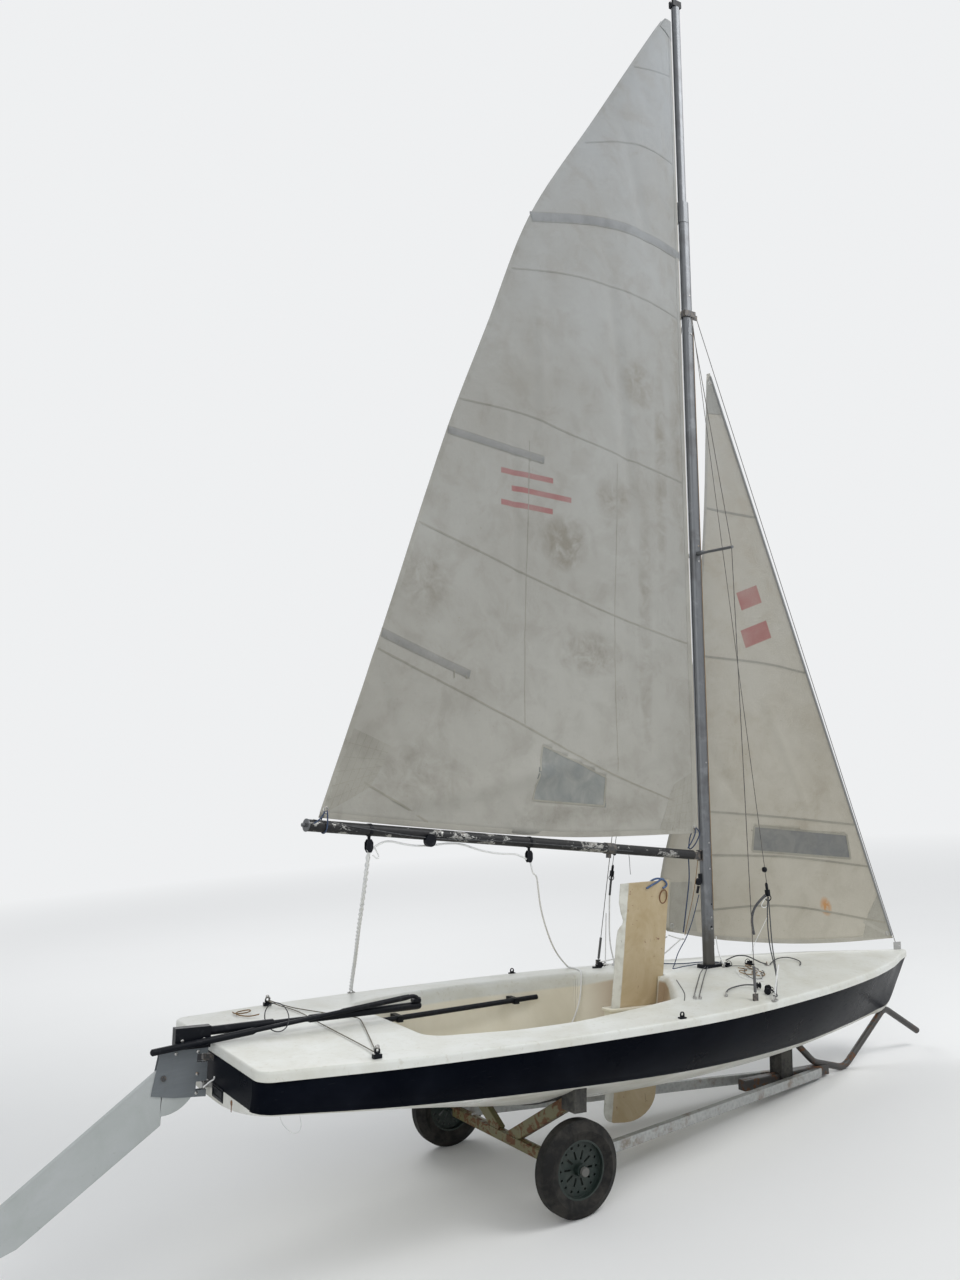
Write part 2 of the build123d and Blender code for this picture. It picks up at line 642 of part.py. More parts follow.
def build_trolley(body):
    axle = build_cradle(body)
    bends = FilletPolyline(*[(x, 0, z) for x, z in handle_corners], radius=handle_bends)
    *stepped, last_bend, end_run = bends.edges()
    points = [bends @ 0]
    for edge in stepped:
        count = handle_steps if edge.geom_type == GeomType.CIRCLE else 1
        points += [edge @ (i / count) for i in range(1, count + 1)]
    path = Polyline(*points) + last_bend
    section = Plane(origin=path @ 0, z_dir=path % 0) * Circle(handle_radius)
    handle = sweep(section, path, transition=Transition.RIGHT)
    handle += rod(end_run @ 0, end_run @ 1, handle_radius)
    drawbar = largest(beam((2980, 0, 235), (3640, 0, 252), 56, 56) - handle)
    rail = beam((wheel_x + 20, -452, beam_z + 2), (3560, -26, 244), rail_width, rail_height)
    rail = largest(rail - axle - drawbar - handle)
    add("rail_starboard", rail)
    add("rail_port", mirror(rail, Plane.XZ))
    add("drawbar", drawbar)
    add("handle", handle - body)
    chock = solid_box((3240, 3330), (-45, 45), (240, 460)) - body - drawbar
    add("bow_chock", largest(chock))


def main():
    body, deck, inside = build_hull()
    build_deck_gear(deck, inside)
    build_board()
    build_mast(deck)
    mast = mast_frame * mast_section(mast_lower_end)
    build_shrouds(deck, mast)
    build_boom()
    build_gooseneck(mast)
    build_sails()
    build_rudder()
    for side in (1, -1):
        build_wheel(side)
    build_trolley(body)
    os.makedirs("parts", exist_ok=True)
    for name, shape in parts.items():
        export_step(shape, "parts/" + name + ".step")
    box = Compound(children=list(parts.values())).bounding_box()
    print("nose down", round(nose_down, 3), "box", box.min, box.max)


main()
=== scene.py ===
import bpy
import bmesh
import json
import math
from mathutils import Matrix, Vector, noise

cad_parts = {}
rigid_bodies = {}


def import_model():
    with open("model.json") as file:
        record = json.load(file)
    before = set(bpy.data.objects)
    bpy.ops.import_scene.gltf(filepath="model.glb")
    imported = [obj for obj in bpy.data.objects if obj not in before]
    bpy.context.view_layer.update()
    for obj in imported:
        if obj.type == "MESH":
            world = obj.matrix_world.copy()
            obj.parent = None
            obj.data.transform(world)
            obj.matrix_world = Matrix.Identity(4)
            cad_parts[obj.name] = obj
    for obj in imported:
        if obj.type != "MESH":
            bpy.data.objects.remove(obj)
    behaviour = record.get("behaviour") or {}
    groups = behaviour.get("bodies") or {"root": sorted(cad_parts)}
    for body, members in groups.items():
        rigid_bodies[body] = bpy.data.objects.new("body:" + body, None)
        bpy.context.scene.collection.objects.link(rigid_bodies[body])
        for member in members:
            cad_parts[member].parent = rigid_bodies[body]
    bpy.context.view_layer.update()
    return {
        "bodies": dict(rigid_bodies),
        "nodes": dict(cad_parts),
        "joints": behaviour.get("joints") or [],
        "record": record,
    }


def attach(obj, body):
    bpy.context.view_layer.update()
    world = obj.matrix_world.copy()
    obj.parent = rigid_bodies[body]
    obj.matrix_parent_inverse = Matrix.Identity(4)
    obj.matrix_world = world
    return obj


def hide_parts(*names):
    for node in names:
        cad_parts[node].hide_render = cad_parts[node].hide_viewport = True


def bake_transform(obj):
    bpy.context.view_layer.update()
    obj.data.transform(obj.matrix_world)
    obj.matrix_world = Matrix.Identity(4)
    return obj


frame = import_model()
nodes = frame["nodes"]
print("frame loaded,", len(nodes), "nodes")

# The boat is drawn level, in metres: X from the transom to the bow, Y to port, Z up from the floor.
# It stands nose down on its trolley, so everything drawn level goes through the matrix "tipped".
stance = {"noseDown": 5.610331, "axle": (1.449, 0.0, 0.2), "boxMiddle": 1.818}
axleAt = Vector(stance["axle"])
tipped = (Matrix.Translation(axleAt - Vector((stance["boxMiddle"], 0, 0)))
          @ Matrix.Rotation(math.radians(stance["noseDown"]), 4, "Y") @ Matrix.Translation(-axleAt))

rig = {"mastFoot": (2.752, 0, 0.881), "mastTop": (2.604, 0, 6.631), "luffX": -0.042, "boomSwing": 7.5}
mastFoot, mastTop = Vector(rig["mastFoot"]), Vector(rig["mastTop"])
mastRake = math.atan2(mastFoot.x - mastTop.x, mastTop.z - mastFoot.z)
onMast = tipped @ Matrix.Translation(mastFoot) @ Matrix.Rotation(-mastRake, 4, "Y")
# In the mainsail's frame -X is aft from the luff and Z is up the mast
onBoom = (onMast @ Matrix.Translation((rig["luffX"], 0, 0))
          @ Matrix.Rotation(math.radians(rig["boomSwing"]), 4, "Z"))


def framed(origin, alongX, alongZ):
    # a frame from its origin and two of its axes, drawn in the level boat
    z = Vector(alongZ).normalized()
    y = z.cross(Vector(alongX)).normalized()
    turn = Matrix((y.cross(z), y, z)).transposed().to_4x4()
    return tipped @ Matrix.Translation(origin) @ turn


# The daggerboard's frame: X from its trailing edge, Z up the board
boardLean = math.radians(5.75)
onBoard = framed((2.024, 0, 0.168), (math.cos(boardLean), 0, -math.sin(boardLean)),
                 (math.sin(boardLean), 0, math.cos(boardLean)))


asIs = Matrix.Identity(4)


def level(x, y, z):
    return tipped @ Vector((x, y, z))


def evenly(low, high, count):
    # evenly spaced values from low to high
    return [low + (high - low) * k / count for k in range(count + 1)]


def pairs(loop):
    # each point of a closed loop with the next one
    return zip(loop, loop[1:] + loop[:1])


def squareTo(axis):
    # an axis made one metre long, and two more that are square to it
    axis = Vector(axis).normalized()
    side = axis.orthogonal().normalized()
    return axis, side, axis.cross(side)


def circle(centre, side, other, radius, count):
    # points evenly round the circle that two unit vectors span, or the oval that longer ones do
    angles = [2 * math.pi * k / count for k in range(count)]
    return [centre + (side * math.cos(a) + other * math.sin(a)) * radius for a in angles]


# Materials. A value in a material is a Signal, and sums on it add Math nodes.
class Signal:
    def __init__(self, finish, socket):
        self.finish, self.socket = finish, socket

    def combine(self, operation, first, second, clamp=False):
        return self.finish.node("ShaderNodeMath", {"operation": operation, "use_clamp": clamp},
                                {0: first, 1: second})

    def __add__(self, other):
        return self.combine("ADD", self, other)

    def __sub__(self, other):
        return self.combine("SUBTRACT", self, other)

    def __rsub__(self, other):
        return self.combine("SUBTRACT", other, self)

    def __mul__(self, other):
        return self.combine("MULTIPLY", self, other)

    def __truediv__(self, other):
        return self.combine("DIVIDE", self, other)

    __radd__, __rmul__ = __add__, __mul__

    def clamp(self):
        return self.combine("ADD", self, 0.0, clamp=True)

    def above(self, edge, soft=0.02):
        # 0 below edge and 1 above it, over a soft step
        return ((self - edge) / soft + 0.5).clamp()

    def size(self):
        return self.finish.node("ShaderNodeMath", {"operation": "ABSOLUTE"}, {0: self})


class Finish:
    def __init__(self, name, colour, roughness=0.5, **constants):
        self.material = bpy.data.materials.new(name)
        self.material.use_nodes = True
        self.tree = self.material.node_tree
        self.shader = self.tree.nodes["Principled BSDF"]
        self.set("Base Color", colour)
        self.set("Roughness", roughness)
        for key, value in constants.items():
            self.set(key.replace("_", " "), value)
        self.place = self.node("ShaderNodeTexCoord", {}, {}, "Object")

    def feed(self, socket, value):
        if isinstance(value, Signal):
            self.tree.links.new(value.socket, socket)
        elif isinstance(value, (tuple, list)) and len(value) == 3 and socket.type == "RGBA":
            socket.default_value = (*value, 1)
        else:
            socket.default_value = value

    def set(self, socketName, value):
        self.feed(self.shader.inputs[socketName], value)

    def node(self, kind, settings, sockets, output=0):
        made = self.tree.nodes.new(kind)
        for key, value in settings.items():
            setattr(made, key, value)
        for key, value in sockets.items():
            self.feed(made.inputs[key], value)
        return Signal(self, made.outputs[output])

    def stretched(self, stretch, turn=(0, 0, 0)):
        return self.node("ShaderNodeMapping", {}, {"Vector": self.place, "Scale": stretch,
                                                   "Rotation": [math.radians(a) for a in turn]})

    def noise(self, scale, detail=4, rough=0.55, warp=0.0, source=None):
        return self.node("ShaderNodeTexNoise", {}, {
            "Vector": source or self.place, "Scale": scale, "Detail": detail, "Roughness": rough,
            "Distortion": warp})

    def cells(self, scale):
        return self.node("ShaderNodeTexVoronoi", {}, {"Vector": self.place, "Scale": scale})

    def wave(self, scale, warp=0.0, source=None, direction="X"):
        return self.node("ShaderNodeTexWave", {"bands_direction": direction},
                         {"Vector": source or self.place, "Scale": scale, "Distortion": warp}, 1)

    def mix(self, share, first, second):
        return self.node("ShaderNodeMix", {"data_type": "RGBA"}, {0: share, 6: first, 7: second}, 2)

    def axis(self, letter, source=None):
        return self.node("ShaderNodeSeparateXYZ", {}, {0: source or self.place}, "XYZ".index(letter))

    def attribute(self, name):
        return self.node("ShaderNodeAttribute", {"attribute_name": name}, {}, "Vector")

    def along(self, frame, axis):
        # how far along one axis of a drawing frame the surface is
        row = frame.inverted()[axis]
        return self.node("ShaderNodeVectorMath", {"operation": "DOT_PRODUCT"},
                         {0: self.place, 1: tuple(row[:3])}, "Value") + row[3]

    def finished(self, colour, roughness, height, strength, distance):
        # takes what varies over the surface; None leaves the roughness even, and height makes the bump
        self.set("Base Color", colour)
        if roughness is not None:
            self.set("Roughness", roughness)
        self.set("Normal", self.node("ShaderNodeBump", {},
                                     {"Height": height, "Strength": strength, "Distance": distance}))
        return self


def spot(s, t, centreS, centreT, reachS, reachT):
    # 1 at a point of a sail, falling to 0 at its edge
    across, along = (s - centreS) / reachS, (t - centreT) / reachT
    return (1.0 - (across * across + along * along)).clamp()


def sailFinish(name, colour, dirt, spots=(), marks=(), rusty=()):
    # old woven sailcloth: threads, crumpled resin, mildew flecks, soaked-in dirt with some painted crease
    # shade, and faded red marks
    made = Finish(name, colour, 0.72, Sheen_Weight=0.15)
    cloth = made.attribute("cloth")
    s, t = made.axis("X", cloth), made.axis("Y", cloth)
    broad = made.noise(1.1, 6, 0.62, 0.3, cloth)
    mottle = made.noise(5.5, 6, 0.66, 0.5, cloth)
    speckle = made.noise(70, 3, 0.6, source=cloth)
    grimeAndCreaseShade = broad.above(0.54, 0.3) * 0.42 + mottle.above(0.56, 0.16) * 0.24
    # spots add stains, and on the main also painted shade along creases
    for centreS, centreT, reachS, reachT, weight in spots:
        ragged = made.noise(9, 4, 0.7, 0.6, cloth)
        grimeAndCreaseShade = grimeAndCreaseShade + spot(s, t, centreS, centreT, reachS, reachT) * ragged.above(0.5, 0.3) * weight
    # the top is greyer and darker, partly weathered and partly painted shade; the foot has yellowed
    tone = made.mix((t / 5.0).clamp(), made.mix(0.5, colour, (0.45, 0.42, 0.34)),
                    made.mix(0.75, colour, (0.26, 0.28, 0.30)))
    tone = made.mix(grimeAndCreaseShade.clamp(), tone, dirt)
    tone = made.mix(speckle.above(0.70, 0.05) * 0.45, tone, (0.16, 0.14, 0.07))
    for centreS, centreT, reachS, reachT in rusty:
        ragged = made.noise(26, 4, 0.7, 0.5, cloth).above(0.40, 0.2)
        rust = spot(s, t, centreS, centreT, reachS, reachT) * ragged * 0.9
        tone = made.mix(rust, tone, (0.46, 0.20, 0.035))
    for centreS, centreT, halfS, halfT, lean in marks:
        leant = s - centreS - (t - centreT) * lean
        beside, beyond = leant.size().above(halfS, 0.004), (t - centreT).size().above(halfT, 0.004)
        inside = (1 - beside) * (1 - beyond)
        worn = made.noise(4, 3, 0.5, 0.0, cloth).above(0.35, 0.5) * 0.45 + 0.25
        tone = made.mix(inside * worn, tone, (0.26, 0.035, 0.04))
    threads = made.wave(420, source=cloth) + made.wave(420, source=cloth, direction="Y")
    crumple = made.noise(10, 6, 0.62, 0.3, cloth)
    return made.finished(tone, None, threads * 0.05 + crumple, 0.7, 0.006)


# Stains, and on the main painted crease shade, as s, t, reach aft, reach up, weight, and plain faded marks as
# s, t, half width, half height, lean.
# s is metres aft of the luff and t metres up the mast or up from the tack
# The main's two long thin streaks at s 0.24 and 0.38 are painted shade along a crease, in its dirt tone
mainStainsAndCreaseShade = [(0.98, 2.21, 0.18, 0.16, 1.2), (0.42, 3.18, 0.16, 0.16, 0.8), (0.63, 2.51, 0.16, 0.13, 0.8),
             (0.80, 1.65, 0.26, 0.13, 1.0), (1.86, 1.92, 0.20, 0.22, 0.6), (0.24, 2.75, 0.06, 0.75, 0.7),
             (0.38, 1.85, 0.06, 0.80, 0.6), (0.06, 3.1, 0.10, 0.9, 0.5), (1.9, 1.05, 0.35, 0.18, 0.5),
             (0.95, 0.85, 0.7, 0.10, 0.4)]
mainMarks = [(1.24, 2.52, 0.17, 0.014, 0.0), (1.14, 2.44, 0.20, 0.014, 0.0), (1.24, 2.36, 0.17, 0.014, 0.0)]
jibSpots = [(0.7, 1.6, 0.3, 0.6, 0.3), (0.3, 0.9, 0.3, 0.3, 0.3),
            (1.2, 0.75, 0.2, 0.15, 0.6)]
jibRust = [(0.38, 0.38, 0.045, 0.065)]
jibMarks = [(0.22, 2.30, 0.075, 0.055, 0.0), (0.25, 2.08, 0.095, 0.055, 0.0)]


# Where the boom's paint has gone most: place along the boat, reach and strength
chippedAt = [(0.74, 0.10, 0.17), (0.20, 0.12, 0.12), (0.98, 0.10, -0.3), (-0.45, 0.30, 0.03),
             (-1.30, 0.20, 0.06)]

# Plain finishes: material, colour, roughness, other settings; the noise of the wear; where it starts, its
# softness and share; the tones without and with it; what it does to the roughness; the bump's noise and size
plainFinishes = {
    "fitting_black": ("blackMoulding", (0.016, 0.016, 0.017), 0.42, {"Specular_IOR_Level": 0.15},
                      (30, 5, 0.65, 0.3), (0.6, 0.08, 0.3), (0.005, 0.006, 0.009), (0.035, 0.036, 0.04),
                      (0.4, 0.2), (240, 3), (0.15, 0.0005)),
    "stainless": ("stainlessSteel", (0.42, 0.42, 0.41), 0.36, {"Metallic": 1.0},
                  (28, 5, 0.7, 0.5), (0.60, 0.1, 0.7), (0.40, 0.40, 0.39), (0.22, 0.13, 0.07),
                  (0.35, 0.18), (300, 2), (0.08, 0.0004)),
    # the tyre's black rubber is darkened further as painted shade
    "tyre": ("tyreRubber", (0.012, 0.012, 0.012), 0.75, {"Specular_IOR_Level": 0.2},
             (14, 6, 0.7, 0.3), (0.52, 0.2, 0.6), (0.009, 0.009, 0.009), (0.050, 0.046, 0.040),
             (0.25, 0.6), (160, 4), (0.25, 0.0008)),
    # the rim's dark green is darkened further as painted shade
    "rim_green": ("rimMoulding", (0.025, 0.045, 0.035), 0.5, {},
                  (22, 5, 0.7, 0.3), (0.52, 0.2, 0.6), (0.006, 0.015, 0.012), (0.028, 0.036, 0.030),
                  (0.3, 0.38), (200, 3), (0.15, 0.0006)),
    "rubber_pad": ("rubberPad", (0.02, 0.02, 0.02), 0.8, {},
                   (18, 5, 0.7), (0.5, 0.2, 0.5), (0.016, 0.016, 0.016), (0.10, 0.095, 0.08),
                   None, (130, 4), (0.3, 0.001)),
    "cover_grey": ("coverPlastic", (0.40, 0.41, 0.41), 0.5, {},
                   (30, 4), None, (0.060, 0.062, 0.065), (0.12, 0.12, 0.12),
                   None, (150, 3), (0.1, 0.0005)),
    "rustyRing": ("rustyRing", (0.16, 0.075, 0.03), 0.7, {},
                  (120, 5), None, (0.09, 0.04, 0.02), (0.26, 0.13, 0.06),
                  None, (300, 4), (0.5, 0.001))}


def plainFinish(name, colour, roughness, settings, wearNoise, start, clean, worn, gain, grain, size):
    made = Finish(name, colour, roughness, **settings)
    wear = made.noise(*wearNoise)
    share = wear.above(*start[:2]) * start[2] if start else wear
    rough = wear * gain[0] + gain[1] if gain else None
    return made.finished(made.mix(share, clean, worn), rough, made.noise(*grain), *size)


def finishes():
    made = {slotName: plainFinish(*values) for slotName, values in plainFinishes.items()}

    # topsides: near-black gelcoat above the paint line, white below it, both chalky and scuffed
    paint = Finish("topsideGelcoat", (0.004, 0.005, 0.009), 0.2, Specular_IOR_Level=0.02)
    line = paint.axis("X", paint.attribute("paint"))
    ragged = paint.noise(40, 4) * 0.004
    black = (line + ragged).above(0.002, 0.0015)
    dusty = paint.noise(3.0, 6, 0.65, 0.3)
    scratches = paint.noise(60, 3, 0.7, 0.0, paint.stretched((0.25, 1, 3)))
    navy = paint.mix(dusty.above(0.58, 0.25) * 0.3, (0.002, 0.003, 0.006), (0.014, 0.017, 0.025))
    navy = paint.mix(scratches.above(0.70, 0.05) * 0.12, navy, (0.10, 0.10, 0.10))
    chalk = paint.mix(dusty.above(0.5, 0.3), (0.72, 0.72, 0.68), (0.50, 0.49, 0.43))
    made["hull_black"] = paint.finished(paint.mix(black, chalk, navy),
                                        dusty * 0.28 + 0.16 + scratches.above(0.64, 0.08) * 0.2,
                                        paint.noise(220, 2), 0.04, 0.0006)

    # deck moulding: chalky white with grey-green dirt that gathers in the cockpit, and painted shade with
    # dirt in the cockpit's nose
    deck = Finish("deckGelcoat", (0.77, 0.77, 0.72), 0.38, Specular_IOR_Level=0.45)
    soil = deck.noise(2.6, 6, 0.65, 0.5)
    fine = deck.noise(38, 5, 0.7)
    pits = deck.cells(190)
    tone = deck.mix(soil.above(0.52, 0.22) * 0.55, (0.69, 0.70, 0.66), (0.54, 0.53, 0.45))
    tone = deck.mix(fine.above(0.62, 0.1) * 0.35, tone, (0.45, 0.42, 0.33))
    tone = deck.mix((1 - pits.above(0.07, 0.03)) * 0.5, tone, (0.22, 0.20, 0.16))
    below, nose = (deck.axis(letter, deck.attribute("inside")) for letter in "XY")
    liningAndNoseShade = deck.mix(soil.above(0.5, 0.3) * 0.5, (0.80, 0.76, 0.64), (0.62, 0.57, 0.44))
    # the brown in the cockpit's nose is painted shade and dirt
    liningAndNoseShade = deck.mix(nose, liningAndNoseShade, (0.36, 0.25, 0.15))
    tone = deck.mix((below + nose * 0.045).above(0.070, 0.012) * 0.9, tone, liningAndNoseShade)
    made["deck_white"] = deck.finished(tone, soil * 0.3 + 0.28, deck.noise(150, 3), 0.12, 0.0008)

    liner = Finish("linerGelcoat", (0.70, 0.67, 0.56), 0.45, Specular_IOR_Level=0.4)
    soil = liner.noise(4, 6, 0.7, 0.6)
    runs = liner.noise(7, 4, 0.6, 0.2, liner.stretched((1, 1, 0.25)))
    tone = liner.mix(soil.above(0.5, 0.25) * 0.6, (0.74, 0.71, 0.61), (0.50, 0.46, 0.34))
    tone = liner.mix(runs.above(0.6, 0.1) * 0.3, tone, (0.36, 0.33, 0.24))
    made["liner_cream"] = liner.finished(tone, soil * 0.3 + 0.3, liner.noise(120, 3), 0.12, 0.0008)

    # dull anodised tube: fine lengthwise drawing marks, white bloom and grey handling dirt
    alloy = Finish("sparAlloy", (0.28, 0.30, 0.33), 0.45, Metallic=0.6)
    drawn = alloy.noise(30, 3, 0.6, 0, alloy.stretched((14, 14, 0.15), (0, 7.08, 0)))
    bloom = alloy.noise(11, 5, 0.65, 0.4)
    tone = alloy.mix(drawn, (0.115, 0.122, 0.132), (0.19, 0.198, 0.208))
    tone = alloy.mix(bloom.above(0.60, 0.12) * 0.4, tone, (0.28, 0.29, 0.30))
    tone = alloy.mix(alloy.noise(5, 4).above(0.6, 0.1) * 0.5, tone, (0.08, 0.08, 0.08))
    # the scuffed dirt at the mast's heel
    worn = 1 - (alloy.along(onMast, 2) + alloy.noise(24, 5, 0.7) * 0.30).above(0.36, 0.16)
    tone = alloy.mix(worn * 0.8, tone, (0.060, 0.054, 0.042))
    made["spar_alloy"] = alloy.finished(tone, bloom * 0.35 + 0.28, drawn, 0.05, 0.0005)

    # boom: black paint flaking off in chips, the bare metal under it, white oxide at the edges
    boom = Finish("flakingPaint", (0.02, 0.02, 0.022), 0.4, Specular_IOR_Level=0.25)
    flakes = boom.noise(20, 8, 0.72, 0.7, boom.stretched((0.45, 1, 1)))
    along = boom.axis("X")
    wear = boom.noise(2.4, 3) * 0.22
    for middle, reach, gain in chippedAt:
        wear = wear + (1 - ((along - middle) / reach).size()).clamp() * gain
    bare = (flakes + wear).above(0.735, 0.012)
    rim = (flakes + wear).above(0.720, 0.012)
    dull = boom.mix(boom.noise(60, 4), (0.006, 0.006, 0.008), (0.03, 0.03, 0.03))
    tone = boom.mix(rim, dull, (0.50, 0.50, 0.48))
    metal = boom.mix(boom.noise(70, 4).above(0.5, 0.2), (0.42, 0.42, 0.40), (0.16, 0.15, 0.14))
    boom.set("Metallic", bare * 0.85)
    made["boom_black"] = boom.finished(boom.mix(bare, tone, metal), boom.noise(35, 4) * 0.3 + 0.3, 1 - bare,
                                       0.5, 0.0008)

    wire = Finish("rigWire", (0.10, 0.10, 0.10), 0.5, Metallic=0.6)
    tone = wire.mix(wire.noise(60, 4).above(0.55, 0.2), (0.07, 0.07, 0.072), (0.16, 0.14, 0.12))
    made["wire"] = wire.finished(tone, None, wire.wave(420, 1.0, direction="Z"), 0.3, 0.0004)

    # rudder stock: dull grey sheet with brushed streaks and pale scratches
    sheet = Finish("rudderPlate", (0.20, 0.22, 0.24), 0.5, Metallic=0.3)
    brushed = sheet.noise(26, 4, 0.6, 0, sheet.stretched((0.3, 1, 5), (0, 20, 0)))
    stained = sheet.noise(9, 6, 0.7, 0.6)
    tone = sheet.mix(brushed, (0.120, 0.136, 0.148), (0.165, 0.181, 0.193))
    tone = sheet.mix(stained.above(0.60, 0.1) * 0.35, tone, (0.12, 0.13, 0.125))
    made["rudder_plate"] = sheet.finished(tone, stained * 0.3 + 0.32, brushed, 0.08, 0.0005)

    # rudder blade: white foil greyed partly with weather and partly as painted shade, weathered in patches
    foil = Finish("bladeGelcoat", (0.40, 0.42, 0.42), 0.4)
    weather = foil.noise(5, 6, 0.7, 0.7)
    specks = foil.noise(80, 3, 0.7)
    tone = foil.mix(weather.above(0.5, 0.35), (0.415, 0.435, 0.435), (0.365, 0.39, 0.38))
    tone = foil.mix(specks.above(0.68, 0.05) * 0.3, tone, (0.20, 0.21, 0.17))
    made["foil_white"] = foil.finished(tone, weather * 0.3 + 0.25, foil.noise(90, 3), 0.12, 0.0006)

    # daggerboard: yellowed paint, brown flecks where it is knocked, bare foam and filler at the break
    board = Finish("boardGelcoat", (0.60, 0.50, 0.34), 0.5)
    chord = board.along(onBoard, 0)
    stain = board.noise(5, 6, 0.7, 0.8)
    fleck = board.noise(34, 6, 0.75, 0.4)
    upright = board.noise(30, 4, 0.6, 0.3, board.stretched((3.0, 3.0, 0.35), (0, 0.14, 0)))
    tone = board.mix(stain.above(0.48, 0.3), (0.49, 0.40, 0.26), (0.40, 0.31, 0.175))
    pale = board.mix(board.noise(14, 5).above(0.55, 0.2), (0.66, 0.66, 0.60), (0.50, 0.49, 0.43))
    tone = board.mix((chord + board.noise(26, 5) * 0.006).above(0.050, 0.004), pale, tone)
    tone = board.mix(fleck.above(0.66, 0.03) * 0.85, tone, (0.16, 0.06, 0.03))
    tone = board.mix(upright.above(0.69, 0.02) * 0.7, tone, (0.20, 0.15, 0.10))
    knocked = (1 - (chord - 0.006).above(0.004, 0.004)) * fleck.above(0.62, 0.04) * 0.6
    tone = board.mix(knocked, tone, (0.24, 0.17, 0.11))
    made["foil_cream"] = board.finished(tone, stain * 0.3 + 0.35, fleck, 0.25, 0.0012)

    for slotName, name, paintTone, chipTone, rust in (
            ("olive_paint", "olivePaint", (0.105, 0.095, 0.030), (0.17, 0.155, 0.075), 0.52),
            ("dark_steel", "blackPaint", (0.025, 0.024, 0.024), (0.07, 0.065, 0.06), 0.56)):
        coat = Finish(name, paintTone, 0.5)
        bubbling = coat.noise(17, 8, 0.72, 0.6)
        rusty = (bubbling + coat.noise(3, 3) * 0.25).above(rust + 0.12, 0.03)
        tone = coat.mix(coat.noise(9, 5), paintTone, chipTone)
        rustTone = coat.mix(coat.noise(60, 5, 0.7), (0.065, 0.027, 0.012), (0.17, 0.075, 0.030))
        # the axle's bare ends stick out through the hubs
        bare = coat.axis("Y").size().above(0.535, 0.004)
        tone = coat.mix(bare, coat.mix(rusty, tone, rustTone), (0.10, 0.10, 0.092))
        blisters = bubbling + coat.noise(150, 4) * rusty
        made[slotName] = coat.finished(tone, rusty * 0.4 + 0.42, blisters, 0.35, 0.0012)

    # hot-dip zinc: grey with a faint frost and brown stain
    zinc = Finish("galvanised", (0.42, 0.43, 0.42), 0.55, Metallic=0.7)
    frost = zinc.cells(55)
    stain = zinc.noise(6, 6, 0.7, 0.5)
    tone = zinc.mix(frost, (0.33, 0.34, 0.34), (0.50, 0.51, 0.50))
    made["galvanised"] = zinc.finished(zinc.mix(stain.above(0.58, 0.12) * 0.7, tone, (0.20, 0.15, 0.10)),
                                       frost * 0.2 + 0.42, zinc.noise(120, 4), 0.15, 0.0008)

    belt = Finish("beltWebbing", (0.018, 0.018, 0.019), 0.85)
    ribs = belt.wave(260, 0.3, direction="Y") + belt.wave(260, 0.3)
    dust = belt.noise(12, 5)
    tone = belt.mix(dust.above(0.5, 0.25) * 0.6, (0.014, 0.014, 0.015), (0.08, 0.075, 0.065))
    made["webbing"] = belt.finished(tone, None, ribs, 0.4, 0.001)

    # what the CAD slots don't have: ropes, sail tapes and the window film
    for name, tone, flecks in (("ropeWhite", (0.88, 0.88, 0.85), (0.62, 0.63, 0.65)),
                               ("ropeBlue", (0.014, 0.022, 0.060), (0.05, 0.08, 0.14)),
                               ("ropeBoard", (0.035, 0.065, 0.16), (0.12, 0.18, 0.30)),
                               ("ropeDull", (0.095, 0.080, 0.058), (0.20, 0.18, 0.14)),
                               ("ropeDark", (0.025, 0.028, 0.035), (0.12, 0.12, 0.12)),
                               ("ropeBrown", (0.17, 0.095, 0.035), (0.30, 0.20, 0.10)),
                               ("whipping", (0.05, 0.09, 0.26), (0.02, 0.03, 0.09))):
        cordage = Finish(name, tone, 0.8)
        braid = cordage.cells(420)
        worn = cordage.noise(60, 4)
        flecked = cordage.mix(braid.above(0.45, 0.2) * 0.6 + worn.above(0.6, 0.1) * 0.4, tone, flecks)
        made[name] = cordage.finished(flecked, None, braid, 0.35, 0.0006)
    for look, name, tone, dirt, more in (
            ("sailcloth", "mainCloth", (0.36, 0.36, 0.335), (0.215, 0.20, 0.165), (mainStainsAndCreaseShade, mainMarks)),
            ("jibCloth", "jibCloth", (0.49, 0.46, 0.385), (0.30, 0.265, 0.20), (jibSpots, jibMarks, jibRust)),
            # the pockets' cloth is darker than the sail's, partly its own tone and partly painted shade of
            # the crowned pockets
            ("pocket", "pocketCloth", (0.155, 0.165, 0.17), (0.09, 0.09, 0.09), ()),
            ("tape", "sailTape", (0.38, 0.37, 0.33), (0.17, 0.16, 0.13), ()),
            ("patch", "patchCloth", (0.29, 0.285, 0.25), (0.17, 0.16, 0.13), ()),
            ("seam", "seamThread", (0.225, 0.22, 0.175), (0.12, 0.11, 0.08), ()),
            ("luffBlue", "luffTape", (0.05, 0.09, 0.17), (0.10, 0.11, 0.12), ())):
        made[look] = sailFinish(name, tone, dirt, *more)
    for name, clear, cloudy in (("window", (0.185, 0.200, 0.190), (0.25, 0.255, 0.235)),
                                ("jibWindow", (0.14, 0.145, 0.14), (0.19, 0.19, 0.175))):
        film = Finish(name + "Film", clear, 0.28, Alpha=0.85)
        cloud = film.noise(9, 5, 0.6, 0.5)
        film.set("Alpha", cloud.above(0.45, 0.4) * 0.2 + 0.75)
        made[name] = film.finished(film.mix(cloud.above(0.5, 0.3), clear, cloudy), None,
                                   film.noise(34, 4, 0.6, 0.5), 0.5, 0.003)
    print(len(made), "finishes made")
    return made


finish = finishes()


# Camera at the photograph's place, given in the level boat's frame
view = {"at": (-1.479, -4.508, 1.755), "forward": (0.5138, 0.8452, 0.1473),
        "right": (0.8533, -0.5214, 0.0150),
        "lens": 30.24, "sensor": 36.0}


